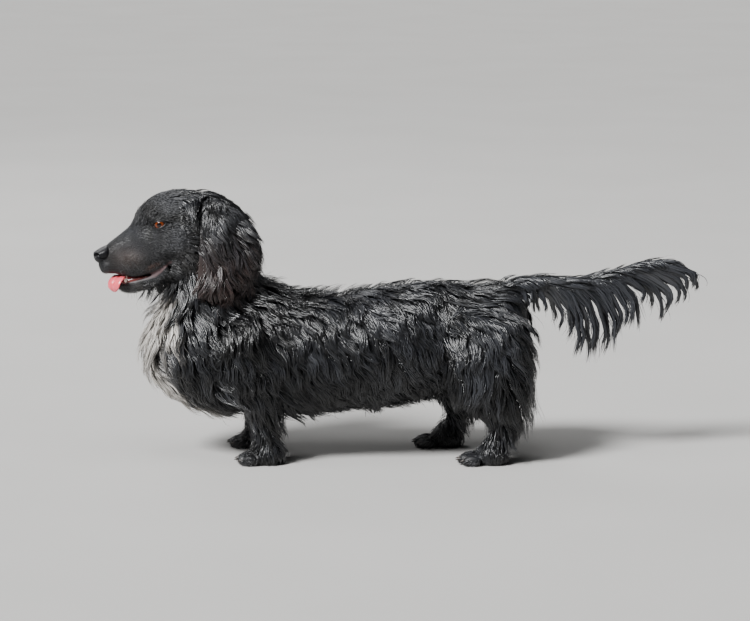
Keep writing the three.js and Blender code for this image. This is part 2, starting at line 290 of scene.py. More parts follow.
def modify(ob, kind, **settings):
    """Applies a modifier to an object's mesh."""
    modifier = ob.modifiers.new(kind.title(), kind)
    for name, value in settings.items():
        setattr(modifier, name, value)
    graph = bpy.context.evaluated_depsgraph_get()
    mesh = bpy.data.meshes.new_from_object(ob.evaluated_get(graph))
    ob.modifiers.clear()
    old, ob.data = ob.data, mesh
    bpy.data.meshes.remove(old)


def fuse(ob, voxel, rounds):
    """Melts overlapping closed shells into one skin, and rounds it."""
    modify(ob, "REMESH", mode="VOXEL", voxel_size=voxel, adaptivity=0.0)
    modify(ob, "SMOOTH", factor=0.5, iterations=rounds)
    return ob


def ease(ob, weights, rounds):
    """Smooths the mesh where weights are over 0."""
    group = ob.vertex_groups.new(name="Soft")
    for i in np.nonzero(weights > 0.01)[0]:
        group.add([int(i)], float(weights[i]), "REPLACE")
    modify(ob, "SMOOTH", factor=0.5, iterations=rounds, vertex_group="Soft")
    ob.vertex_groups.clear()


def combine(ob, other, operation):
    modify(ob, "BOOLEAN", operation=operation, solver="MANIFOLD", object=other)
    bpy.data.objects.remove(other, do_unlink=True)


# ---------------------------------------------------------------- forms of the body under the coat
# Each table row is y, z, x, half width, over, under, in mm.
TRUNK = [
    (-348, 152, 0, 20, 22, 24),
    (-338, 151, 0, 38, 44, 42),
    (-313, 150, 0, 52, 64, 62),
    (-276, 149, 0, 61, 80, 74),
    (-235, 148, 0, 66, 90, 80),
    (-190, 147, 0, 68, 95, 80),
    (-163, 147, 0, 68, 90, 79),
    (-136, 147, 0, 67, 82, 77),
    (-94, 147, 0, 67, 79, 72),
    (-52, 150, 0, 67, 84, 68),
    (-17, 152, 0, 66, 88, 64),
    (18, 155, 0, 62, 90, 60),
    (49, 159, 0, 55, 88, 56),
    (92, 166, 0, 55, 78, 52),
    (128, 173, 0, 50, 69, 48),
    (156, 184, 0, 38, 60, 42),
    (176, 200, 0, 20, 44, 34),
]
NECK = [
    (-258, 338, 0, 34, 26, 24),
    (-262, 306, 0, 41, 38, 38),
    (-261, 272, 0, 46, 56, 49),
    (-256, 240, 0, 51, 68, 61),
    (-252, 205, 0, 55, 78, 73),
    (-248, 170, 0, 55, 78, 74),
]
FORELEG = [
    (-208, 205, 48, 20, 32, 30),
    (-214, 172, 53, 25, 40, 38),
    (-206, 130, 57, 23, 36, 36),
    (-196, 95, 58, 18, 25, 24),
    (-189, 64, 56, 14, 17, 18),
    (-184, 36, 54, 14, 16, 17),
    (-184, 14, 54, 15, 15, 17),
]
HINDLEG = [
    (114, 212, 40, 20, 38, 32),
    (116, 188, 46, 25, 60, 40),
    (112, 156, 51, 28, 65, 42),
    (110, 126, 54, 27, 63, 40),
    (112, 100, 56, 23, 53, 36),
    (126, 78, 56, 17, 34, 27),
    (142, 56, 56, 12, 13, 15),
    (139, 34, 56, 11, 12, 13),
    (132, 12, 56, 12, 12, 15),
]
# How far forward of the table each paw stands.
STRIDE = {("fore", "left"): 0.0, ("fore", "right"): -16.0, ("hind", "left"): 0.0, ("hind", "right"): -60.0}
TAIL_CORE = [
    (150, 238, 0, 15, 14, 15),
    (180, 242, 0, 12, 12, 12),
    (207, 245, 0, 10.5, 10.5, 10.5),
    (232, 243, 0, 9.5, 9.5, 9.5),
    (256, 245, 0, 9, 9, 9),
    (283, 250, 0, 8.5, 8.5, 8.5),
    (311, 258, 0, 8, 8, 8),
    (332, 266, 0, 7.4, 7.4, 7.4),
    (353, 271, 0, 6.8, 6.8, 6.8),
    (374, 273, 0, 6, 6, 6),
    (390, 270, 0, 5, 5, 5),
    (402, 264, 0, 3.6, 3.6, 3.6),
]
# The head's tables are in its own frame.
SKULL = [
    (-157, -21, 0, 9, 9, 11),
    (-150, -19, 0, 13, 16, 17.5),
    (-140, -17.5, 0, 16.5, 24, 20.5),
    (-124, -16, 0, 21.5, 34.5, 22.5),
    (-112, -14, 0, 24.5, 43.5, 24),
    (-103, -10, 0, 28, 55.5, 27),
    (-91, -4, 0, 34, 65, 31),
    (-77, 3, 0, 40, 68, 34),
    (-60, 8, 0, 45, 68, 32),
    (-40, 12, 0, 47.5, 65, 38),
    (-20, 15, 0, 47, 59, 44),
    (2, 18, 0, 42, 50, 44),
    (20, 20, 0, 30, 32, 32),
]
JAW = [
    (-131, -56.5, 0, 8, 3.5, 4),
    (-122, -56.5, 0, 12.5, 5, 7.2),
    (-114, -56.5, 0, 14.5, 5.5, 8.4),
    (-104, -55, 0, 17.5, 5.5, 8.2),
    (-92, -51.5, 0, 21.5, 6, 6.5),
    (-80, -45, 0, 25.5, 8, 7.5),
    (-64, -37, 0, 31, 12, 14),
    (-42, -29, 0, 36, 19, 22),
    (-16, -14, 0, 34, 20, 24),
]
EAR = [
    (0, 70, 33, 7, 9, 9),
    (5, 60, 38, 8, 17, 18),
    (13, 44, 46, 5, 26, 30),
    (20, 20, 54, 3.2, 33, 38),
    (18, -10, 60, 2.8, 33, 38),
    (11, -38, 63, 2.6, 28, 33),
    (4, -52, 64, 2.4, 18, 22),
    (-2, -64, 64, 2, 7, 8),
]


def one_side(table, sign, stride=0.0):
    """The table on one side of the dog, carried forward towards the floor by a stride."""
    rows = np.array(table, float)
    top = rows[0, 1]
    rows[:, 0] += stride * smooth(0, 1, (top - rows[:, 1]) / (top - 30.0))
    rows[:, 2] *= sign
    return rows


# Upper lip with its cheek, lower lip with its jaw wall, and the hollow between them; x is for the left side.
UPPER_LIP = [
    (-152, -23, 4, 6, 8, 8.5),
    (-140, -24.5, 9, 8, 11, 10.5),
    (-126, -26, 13.5, 8, 11, 12),
    (-104, -26, 18, 8, 11, 14),
    (-88, -22.5, 22, 8, 11, 13),
    (-76, -17.5, 26.5, 7.5, 11, 13.5),
    (-66, -10, 30, 6.5, 11, 12.5),
    (-58, -4, 31.5, 5, 9, 10),
]
LOWER_LIP = [
    (-131, -54.5, 2.5, 5, 5, 5),
    (-122, -53, 9, 4.5, 5.5, 6),
    (-114, -52, 12.5, 4.5, 6, 7.5),
    (-104, -50, 16, 4.5, 6.5, 8),
    (-92, -46.5, 20, 4.5, 6.5, 9),
    (-80, -41, 25, 4.5, 7, 10.5),
    (-70, -32, 29, 4.5, 7, 12.5),
    (-61, -23, 31.5, 4.5, 7, 14),
]
MOUTH = [
    (-143, -34, 0, 4, 5, 9),
    (-126, -35, 0, 8, 8, 10),
    (-104, -35, 0, 11, 9, 10),
    (-88, -33, 0, 14, 9, 9),
    (-76, -30, 0, 17, 8, 8),
    (-65, -24, 0, 20, 5, 5),
]


# Fullness under the face's skin on the left side: centre and radii in the head's frame, and tilt.
FACE_FORMS = [
    ((20, -84, 43), (12.5, 19, 10), 0.5),  # brow
    ((31, -52, 6), (15, 33, 17), 0.0),  # cheekbone
    ((27, -24, -8), (16, 22, 24), 0.0),  # cheek
    ((29, -49, -15), (8.5, 13, 13), 0.0),  # behind the mouth
    ((10, -139, -26), (8.5, 14, 10.5), 0.0),  # under the nose
]
PAW_GRAIN = 0.0017
PAW_CLEAR = 0.0004  # the skin of the soles ends this high over the floor


def body_form(voxel):
    bm = bmesh.new()
    loft(bm, TRUNK, around=64, along=96, end=0.07, square=2.1)
    loft(bm, NECK, facing="down", around=56, along=40, end=0.12)
    for side, sign in SIDES:
        loft(bm, one_side(FORELEG, sign, STRIDE["fore", side]), facing="down", around=32, along=48)
        loft(bm, one_side(HINDLEG, sign, STRIDE["hind", side]), facing="down", around=36, along=56)
    return fuse(add_object("body", to_mesh("body", bm)), voxel, 10)


def paw_form(limb, side):
    """A paw of four toes with their pads, round the places of its claws."""
    low, high = box_mm(f"{limb}paw_{side}")
    bm = bmesh.new()
    middle = (low[0] + high[0]) / 2
    heel = high[1] - 28
    blob(bm, (middle, heel, 13), (18.5, 24, 17))
    blob(bm, (middle, heel + 3, 26), (14, 15, 14))
    for i in range(1, 5):
        low, high = box_mm(f"claw_{limb}_{side}_{i}")
        toe = np.array([(high[0] + low[0]) / 2, high[1] + 7.0, 7.2])
        blob(bm, toe, (5.6, 12.5, 8.0))
        blob(bm, toe + (0, 2.5, -3.4), (4.6, 7.0, 4.2))
    blob(bm, (middle, heel - 2, 3.6), (12.5, 9.0, 5.0))
    ob = fuse(add_object("paw", to_mesh("paw", bm)), PAW_GRAIN, 3)
    co = coordinates(ob.data)
    co[:, 2] = np.maximum(co[:, 2], PAW_CLEAR + 0.5 * PAW_CLEAR * np.sin(co[:, 0] * 900))
    set_coordinates(ob.data, co)
    return ob


def head_form(voxel):
    """Skull, muzzle, lips and jaw as one skin, with the mouth's hollow cut into it."""
    bm = bmesh.new()
    loft(bm, SKULL, around=96, along=120, end=0.08, square=2.15, place=head_to_dog)
    loft(bm, JAW, around=64, along=72, place=head_to_dog)
    for _, sign in SIDES:
        loft(bm, one_side(UPPER_LIP, sign), around=40, along=64, place=head_to_dog)
        loft(bm, one_side(LOWER_LIP, sign), around=32, along=56, end=0.08, place=head_to_dog)
        for centre, radii, tilt in FACE_FORMS:
            blob(bm, np.array(centre) * (sign, 1, 1), radii, head_to_dog, tilt)
    blob(bm, (0, -121, -57), (9, 10, 5.5), head_to_dog)
    head = fuse(add_object("head_form", to_mesh("head_form", bm)), voxel, 4)
    bm = bmesh.new()
    loft(bm, MOUTH, around=40, along=48, place=head_to_dog)
    combine(head, add_object("palate", to_mesh("palate", bm)), "DIFFERENCE")
    return fuse(head, voxel, 3)


def ear_form(sign):
    """A thin hanging ear, with soft waves across it."""
    bm = bmesh.new()
    made = loft(bm, one_side(EAR, sign), facing="down", around=56, along=72, end=0.1)
    co = np.array([v.co for v in made]) / MM
    hang = smooth(60, 0, co[:, 2])
    co[:, 0] += sign * (3.0 * np.sin(co[:, 1] / 9.0 + 0.5) + 2.0 * np.sin(co[:, 2] / 15.0)) * hang
    move(made, head_to_dog(co))
    return add_object("ear_form", to_mesh("ear_form", bm))


def tail_form():
    bm = bmesh.new()
    loft(bm, TAIL_CORE, facing=None, around=32, along=90, end=0.04)
    return add_object("tail_form", to_mesh("tail_form", bm))


# ---------------------------------------------------------------- eyes and lids
EYE_AXIS = math.radians(58)  # the lids' opening faces this far out from straight ahead
LID_HALF = math.radians(60)  # half the opening's length, as an angle on the eyeball
LID_UP = math.radians(22)
LID_DOWN = math.radians(26)
LID_TILT = math.radians(13)


def eye_frame(side, sign):
    """Centre and radius of an eyeball in mm, and unit vectors ahead, along and up its opening."""
    low, high = box_mm(f"eye_{side}")
    ahead = np.array([sign * math.sin(EYE_AXIS), -math.cos(EYE_AXIS), 0.06])
    along = np.array([sign * math.cos(EYE_AXIS), math.sin(EYE_AXIS), 0.0])
    along = along * math.cos(LID_TILT) + np.array([0, 0, 1.0]) * math.sin(LID_TILT)
    ahead, along = (unit(turned(v[None])[0]) for v in (ahead, along))
    along = unit(along - ahead * (along @ ahead))
    up = np.cross(ahead, along)
    up *= -1 if up[2] < 0 else 1
    return (low + high) / 2, (high[2] - low[2]) / 2, ahead, along, up


def lid_edges(across):
    """Height of the upper and lower lid, as angles on the eyeball, at angles across the opening."""
    s = np.clip(np.abs(across) / LID_HALF, 0, 1)
    arch = np.sqrt(np.maximum(0, 1 - s**2.2))
    inner = np.clip(-across / LID_HALF, 0, 1)
    return LID_UP * arch * (1 - 0.12 * inner), -LID_DOWN * arch**1.15 * (1 + 0.05 * inner)


def lid_gap(d, ahead, along, up):
    """How far directions d from an eyeball's centre lie past the lids' edges and past their corners."""
    across = np.arctan2(d @ along, np.maximum(d @ ahead, 1e-3))
    height = np.arcsin(np.clip(d @ up, -1, 1))
    top, bottom = lid_edges(across)
    return np.maximum(height - top, bottom - height), (np.abs(across) - LID_HALF) * 0.9


def shape_lids(co):
    """Wraps the skin round each eyeball and opens it between the lids. co in mm. Also gives how much
    each point may then be eased, so that the lids run smoothly into the face."""
    may_ease = np.zeros(len(co))
    for side, sign in SIDES:
        centre, radius, ahead, along, up = eye_frame(side, sign)
        rel = co - centre
        r = np.linalg.norm(rel, axis=1)
        near = np.nonzero((r < 32) & (rel @ ahead > -4))[0]
        d = rel[near] / r[near, None]
        apart, beyond = lid_gap(d, ahead, along, up)
        gap = np.where(beyond > 0, np.hypot(apart, beyond), np.maximum(apart, beyond))
        dist = radius * gap
        lid = radius + 1.0 + 0.9 * smooth(0, 2.6, dist)
        to_face = smooth(2.0, 9.0, dist)
        outside = lid * (1 - to_face) + np.maximum(r[near], lid) * to_face
        tucked = smooth(0, -1.1, dist)
        inside = (radius + 1.0) * (1 - tucked) + (radius - 2.5) * tucked
        co[near] = centre + d * np.where(gap > 0, outside, inside)[:, None]
        may_ease[near] = smooth(1.6, 4.5, dist) * smooth(19, 12, dist) * smooth(-4, 2, rel[near] @ ahead)
    return co, may_ease


def near_eyes(points):
    """1 where a strand would root on a lid's edge or in the opening of an eye."""
    close = np.zeros(len(points))
    for side, sign in SIDES:
        centre, radius, ahead, along, up = eye_frame(side, sign)
        rel = points - centre
        r = np.linalg.norm(rel, axis=1)
        d = rel / np.maximum(r[:, None], 1e-6)
        gap = np.maximum(*lid_gap(d, ahead, along, up)) * radius
        close = np.maximum(close, (gap < 1.8) & (r < radius + 8) & (d @ ahead > 0))
    return close


# Dents of the face on the left side: centre and radii in the head's frame, and depth.
DENTS = [
    ((33, -77, 50), (9, 11, 6), 4.2),  # over the eye
    ((28, -94, 27), (9, 8, 10), 3.4),  # in front of the eye
    ((42, -44, 34), (10, 20, 12), 2.4),  # temple
    ((40, -60, -10), (10, 16, 7), 1.6),  # behind the mouth's corner
    ((23, -118, -4), (8, 16, 7), 1.8),  # side of the muzzle
    ((36, -62, 18), (9, 9, 5), 1.2),  # under the eye's outer corner
]


def hollow(co, centre, radii, depth):
    """Presses a soft dent into points in the head's frame, towards the head's middle line."""
    d = (co - centre) / radii
    push = depth * np.exp(-(d**2).sum(axis=1) * 1.6)
    toward = unit(np.array([0.0, co[:, 1].mean(), 5.0]) - co)
    return co + toward * push[:, None]


def sculpt_head(co, on_head):
    """Adds the folds and hollows of the face to the skin. co in mm."""
    q = dog_to_head(co[on_head])
    for _, sign in SIDES:
        for centre, radii, depth in DENTS:
            q = hollow(q, np.array(centre, float) * (sign, 1, 1), np.array(radii, float), depth)
    stop = np.exp(-((q[:, 0] / 5.0) ** 2) - ((q[:, 1] + 98) / 22.0) ** 2) * smooth(20, 40, q[:, 2])
    q[:, 2] -= 2.2 * stop
    furrow = np.exp(-((q[:, 0] / 3.5) ** 2)) * smooth(55, 65, q[:, 2]) * smooth(-95, -70, q[:, 1])
    q[:, 2] -= 0.8 * furrow
    co[on_head] = head_to_dog(q)
    return co


# ---------------------------------------------------------------- markings, painted highlights and painted shade, the same for skin and coat
# Painted highlights and painted shade on the face's hair: lighter on the crown, cheek, bridge and side of the
# muzzle, darker round the eye, in the groove before the ear, near the mouth and behind the nose. y and z in
# the head's frame, half sizes in mm, and how much lighter they are.
FACE_PAINTED_LIGHT = [
    (-60, 64, 24, 13, 0.65), (-52, 10, 15, 22, 0.65), (-113, -4, 20, 12, 0.5), (-106, 22, 22, 9, 0.45),
    (-85, 50, 8, 10, -0.7), (-88, 20, 5, 8, -0.7), (-50, 42, 16, 6, -0.6), (-27, 22, 7, 34, -0.6),
    (-96, -24, 26, 6, -0.6), (-141, -11, 7, 13, -0.5),
]
# The same painted highlights and painted shade for the body, in the dog's frame: lighter on the upper flank,
# the thigh and the shoulder, darker on the neck as the ear's painted shadow, in the stifle's fold and low
# down.
BODY_PAINTED_LIGHT = [
    (-123, 172, 35, 22, 0.35), (-46, 208, 22, 25, 0.3), (3, 200, 40, 20, 0.4), (17, 158, 18, 14, 0.3),
    (112, 193, 25, 40, 0.55), (115, 130, 18, 40, 0.4), (-10, 234, 80, 8, 0.15), (-214, 158, 35, 9, 0.4),
    (-232, 115, 10, 20, 0.25), (143, 215, 20, 12, 0.15), (-186, 210, 36, 38, -0.65),
    (-221, 193, 30, 22, -0.4), (-221, 130, 22, 16, -0.3), (-137, 108, 40, 32, -0.35),
    (-18, 80, 28, 30, -0.35), (69, 165, 9, 55, -0.55), (52, 122, 18, 25, -0.35), (150, 115, 22, 35, -0.45),
    (164, 165, 12, 25, -0.3), (-172, 80, 20, 30, -0.2),
]


def patch(y, z, y0, z0, long, high):
    """1 at the middle of a rounded patch, falling to 0 past its half sizes."""
    return np.exp(-(((y - y0) / long) ** 2) - ((z - z0) / high) ** 2)


def lightness(y, z, start, patches):
    """A light level with rounded lighter and darker patches added to it."""
    return start + sum(lighter * patch(y, z, *place) for *place, lighter in patches)


def on_ear(part):
    return (part == EAR_LEFT) | (part == EAR_RIGHT)


def hair_tone_and_painted_light(p, part):
    """How light the black hair is at points of the skin: a random lightness, with painted highlights and
    painted shade that follow the forms of the face and the body, and the whole tail painted lighter as
    painted sheen.
    """
    q = dog_to_head(p)
    face = lightness(q[:, 1], q[:, 2], 0.22 + 0.12 * ripple(p, 20, 5), FACE_PAINTED_LIGHT)
    body = lightness(p[:, 1], p[:, 2], 0.28 + 0.26 * ripple(p, 48, 21), BODY_PAINTED_LIGHT)
    ear = 0.28 + 0.3 * ripple(p, 16, 22)
    # The tail's hair is painted lighter all over, as painted sheen of the light from above.
    tail = 0.8 + 0.25 * ripple(p, 30, 23)
    return np.clip(np.select([part == HEAD, on_ear(part), part == TAIL], [face, ear, tail], body), 0, 1)


HEAD_ABOVE = 200  # the head and ears lie above this height
# Height and half width of the white blaze down the chest.
BLAZE = [
    (40, 24), (56, 32), (76, 38), (100, 39), (130, 41), (160, 43), (190, 43), (214, 41), (236, 36), (250, 0),
]


def markings(p, part):
    """Share of white, of rust and of bare skin at points of the skin, in mm, on the parts they lie on."""
    width = np.interp(p[:, 2], *zip(*BLAZE), left=0, right=0)
    edge = np.abs(p[:, 0]) / np.maximum(width, 1.0) + 0.22 * ripple(p, 34, 3)
    white = (1 - smooth(0.72, 1.08, edge)) * smooth(0, -20, p[:, 1] + 262 + 0.12 * (p[:, 2] - 60))
    white *= (width > 1) & (part == BODY)
    q = dog_to_head(p)
    y, z = q[:, 1], q[:, 2]
    on_muzzle = patch(y, z, -118, -12, 17, 12) * (part == HEAD)
    ear_low = smooth(50, -50, z) * on_ear(part)
    below_corner = z + 28.5 - (y + 92) * 0.68
    near_corner = patch(y, below_corner, -84, 0, 8, 2.6) * (np.abs(q[:, 0]) > 16)
    on_cheek = patch(y, z, -42, -12, 13, 16) * (part == HEAD)
    on_chin = smooth(-42, -50, z) * smooth(-78, -90, y) * (part == HEAD)
    grey = 0.1 * on_muzzle + 0.07 * on_cheek + 0.05 * on_chin
    white = np.maximum(white, grey * (1 + 0.5 * ripple(p, 14, 8)))
    rust = np.clip(0.4 * on_muzzle + 0.36 * ear_low + near_corner, 0, 1) * (1 - white)
    rust *= (p[:, 1] < -150) & (p[:, 2] > HEAD_ABOVE)
    return white, rust, bare_skin(q) * (p[:, 2] > HEAD_ABOVE)


def lip_line(y):
    """Height of the upper lip's lower edge and of the lower lip's upper edge, at y in the head's frame."""
    ys = [-150, -139, -128, -115, -104, -92, -80, -71, -62, -57]
    upper = np.interp(y, ys, [-31, -33, -36.5, -37.8, -38, -34, -28, -22, -17.5, -15])
    lower = np.interp(y, ys, [-50, -50, -49.5, -47.5, -45, -41.8, -36, -28, -18.5, -15])
    return upper, lower


def bare_skin(q):
    """Where the head has no hair: the lips' edges and the inside of the mouth."""
    y, z = q[:, 1], q[:, 2]
    upper, lower = lip_line(y)
    rim = np.interp(y, [-95, -78], [1.0, 3.4])  # how far the lower lip's bare edge reaches down
    inside = smooth(0.8, -0.8, z - upper - 1.2) * smooth(-0.8, 0.8, z - lower + rim)
    return inside * smooth(-150, -146, y) * smooth(-55.5, -58, y)


# ---------------------------------------------------------------- materials
def principled(name, **values):
    material = bpy.data.materials.new(name)
    material.use_nodes = True
    shader = material.node_tree.nodes["Principled BSDF"]
    for socket, value in values.items():
        shader.inputs[socket.replace("_", " ")].default_value = value
    return material, material.node_tree, shader


def plug(tree, socket, value):
    if isinstance(value, bpy.types.NodeSocket):
        tree.links.new(value, socket)
    else:
        socket.default_value = value


def node(tree, kind, settings=None, **inputs):
    """Adds a node. Inputs go by name, or as in0, in1 and so on."""
    made = tree.nodes.new(kind)
    for name, value in (settings or {}).items():
        setattr(made, name, value)
    for name, value in inputs.items():
        plug(tree, made.inputs[int(name[2:]) if name.startswith("in") else name.replace("_", " ")], value)
    return made


def mix(tree, factor, first, second):
    made = node(tree, "ShaderNodeMix", {"data_type": "RGBA"}, in0=factor)
    for index, value in ((6, first), (7, second)):
        plug(tree, made.inputs[index], value if isinstance(value, bpy.types.NodeSocket) else (*value, 1.0))
    return made.outputs[2]


def maths(tree, operation, first, second):
    return node(tree, "ShaderNodeMath", {"operation": operation}, in0=first, in1=second).outputs[0]


def spread(tree, value, low, span):
    """Carries 0 to 1 to low to low + span."""
    return maths(tree, "ADD", maths(tree, "MULTIPLY", value, span), low)


def attribute(tree, name, output="Fac"):
    return node(tree, "ShaderNodeAttribute", {"attribute_name": name}).outputs[output]


def object_noise(tree, scale, detail=3.0, stretch=(1.0, 1.0, 1.0), rough=0.5):
    where = node(tree, "ShaderNodeTexCoord").outputs["Object"]
    turned_to = node(tree, "ShaderNodeMapping", Vector=where, Scale=stretch).outputs[0]
    noise = node(tree, "ShaderNodeTexNoise", Vector=turned_to, Scale=scale, Detail=detail, Roughness=rough)
    return noise.outputs[0]


def bump(tree, shader, height, strength, distance):
    made = node(tree, "ShaderNodeBump", Strength=strength, Distance=distance, Height=height)
    tree.links.new(made.outputs[0], shader.inputs["Normal"])


def paint(tree, shader, colour, roughness=None):
    tree.links.new(colour, shader.inputs["Base Color"])
    if roughness:
        tree.links.new(roughness, shader.inputs["Roughness"])


def times(colour, factor):
    return [min(1.0, c * factor) for c in colour]


def hair_colour(tree):
    """Black, rust and white hair mixed by the markings attribute: white, rust, and the strand's own
    lightness, which carries painted highlights and painted shade.
    """
    coat = bpy.context.scene.dog_coat
    split = node(tree, "ShaderNodeSeparateColor", Color=attribute(tree, "markings", "Color"))
    white, rust, tone_and_painted_light = split.outputs[0], split.outputs[1], split.outputs[2]
    # The strand's lightness, painted highlights and painted shade in it, sets how light the black and white
    # hair are.
    black = mix(tree, tone_and_painted_light, times(coat.black, 0.25), times(coat.black, 4.2))
    reddish = mix(tree, object_noise(tree, 38.0, 2.0), times(coat.rust, 0.55), times(coat.rust, 1.25))
    pale = mix(tree, tone_and_painted_light, times(coat.white, 0.6), times(coat.white, 1.0))
    return mix(tree, white, mix(tree, rust, black, reddish), pale)


def hair_material(name, roughness):
    """Glossy hair, a little uneven in its gloss."""
    material, tree, shader = principled(name, Roughness=roughness, Specular_IOR_Level=0.8, IOR=1.5)
    gloss = spread(tree, object_noise(tree, 90.0, 2.0), roughness - 0.08, 0.16)
    paint(tree, shader, hair_colour(tree), gloss)
    return material


def skin_material():
    """Short fur and bare skin: the coat's colours, with their painted highlights and painted shade, and the
    lie of the hair as fine bump.
    """
    material, tree, shader = principled("dog_skin", Roughness=0.5, Specular_IOR_Level=0.4)
    bare = attribute(tree, "bare")
    fur = mix(tree, 0.35, hair_colour(tree), (0.004, 0.004, 0.005))
    flesh = attribute(tree, "flesh", "Color")
    paint(tree, shader, mix(tree, bare, fur, flesh), spread(tree, bare, 0.52, 0.02))
    lie = object_noise(tree, 700.0, 4.0, (1.0, 0.28, 0.7), 0.6)
    bump(tree, shader, maths(tree, "MULTIPLY", lie, maths(tree, "SUBTRACT", 1.1, bare)), 0.5, 0.0006)
    return material


def nose_material():
    """Dark damp leather of small cells."""
    material, tree, shader = principled("nose_leather", Roughness=0.4, Specular_IOR_Level=0.2)
    where = node(tree, "ShaderNodeTexCoord").outputs["Object"]
    edges = {"feature": "DISTANCE_TO_EDGE"}
    cells = node(tree, "ShaderNodeTexVoronoi", edges, Vector=where, Scale=900.0).outputs[0]
    ridge = maths(tree, "MINIMUM", maths(tree, "MULTIPLY", cells, 3.0), 1.0)
    leather = mix(tree, ridge, (0.003, 0.003, 0.004), (0.008, 0.008, 0.01))
    paint(tree, shader, leather, spread(tree, object_noise(tree, 160.0), 0.3, 0.2))
    bump(tree, shader, ridge, 0.22, 0.0003)
    return material


def eye_material():
    """Amber iris with darker spokes, black pupil and a dark rim, under a wet surface; the white of the eye is
    painted dark as painted shade.
    """
    iris = bpy.context.scene.dog_face.iris
    material, tree, shader = principled(
        "eye", Roughness=0.2, Specular_IOR_Level=0.15, Coat_Weight=0.75, Coat_Roughness=0.02, IOR=1.4
    )
    out = attribute(tree, "from_pupil")
    spokes = maths(tree, "MULTIPLY", maths(tree, "SUBTRACT", object_noise(tree, 2600.0, 3.0), 0.5), 0.09)
    ramp = node(tree, "ShaderNodeValToRGB", Fac=maths(tree, "ADD", out, spokes))
    stops = [
        (0.0, (0.002, 0.002, 0.003)), (0.35, (0.003, 0.002, 0.002)), (0.4, times(iris, 0.4)),
        (0.6, times(iris, 1.0)), (0.8, times(iris, 0.75)), (0.93, times(iris, 0.16)),
        (0.985, (0.012, 0.008, 0.007)),
    ]
    while len(ramp.color_ramp.elements) < len(stops):
        ramp.color_ramp.elements.new(0.5)
    for element, (place, colour) in zip(ramp.color_ramp.elements, stops):
        element.position, element.color = place, (*colour, 1.0)
    past_iris = maths(tree, "GREATER_THAN", out, 1.12)
    # Painted shade: the white of the eye is coloured dark brown-grey, with a faint mottle, as if shaded by
    # the lids.
    white_in_painted_shade = mix(tree, object_noise(tree, 900.0), (0.02, 0.012, 0.01), (0.075, 0.05, 0.042))
    paint(tree, shader, mix(tree, past_iris, ramp.outputs[0], white_in_painted_shade))
    return material


def wet_material(name, colour, roughness, grain, subsurface=0.0):
    """Tongue and lid rims: wet flesh with a soft grain."""
    material, tree, shader = principled(
        name, Roughness=roughness, Subsurface_Weight=subsurface, Subsurface_Scale=0.004, Coat_Weight=0.35,
        Coat_Roughness=0.15,
    )
    paint(tree, shader, mix(tree, object_noise(tree, 120.0, 4.0), times(colour, 0.72), times(colour, 1.12)))
    bump(tree, shader, object_noise(tree, grain, 2.0), 0.35, 0.0004)
    return material


def tooth_material():
    """Enamel, and gum where the gum attribute is 1."""
    material, tree, shader = principled("teeth", Roughness=0.25, Coat_Weight=0.4, Coat_Roughness=0.1)
    enamel = mix(tree, object_noise(tree, 300.0), (0.74, 0.68, 0.55), (0.86, 0.83, 0.75))
    flesh = mix(tree, object_noise(tree, 260.0), (0.09, 0.018, 0.016), (0.19, 0.04, 0.036))
    paint(tree, shader, mix(tree, attribute(tree, "gum"), enamel, flesh))
    return material


def claw_material():
    """Dark horn, streaked along the claw."""
    material, tree, shader = principled("claw_horn", Roughness=0.38)
    streak = object_noise(tree, 500.0, 3.0, (1.0, 0.2, 1.0))
    paint(tree, shader, mix(tree, streak, (0.008, 0.007, 0.006), (0.05, 0.038, 0.03)))
    bump(tree, shader, streak, 0.3, 0.0003)
    return material


def floor_material():
    material, tree, shader = principled("studio_floor", Roughness=0.85, Specular_IOR_Level=0.2)
    paint(tree, shader, mix(tree, object_noise(tree, 3.0), (0.37, 0.365, 0.355), (0.41, 0.405, 0.395)))
    return material


# ---------------------------------------------------------------- strands
UV_PATCH = (0.0012, 0.0026)  # half width and length of a strand's patch in the OFBake map
FLAT = 0.36  # a strand's height, against its half width


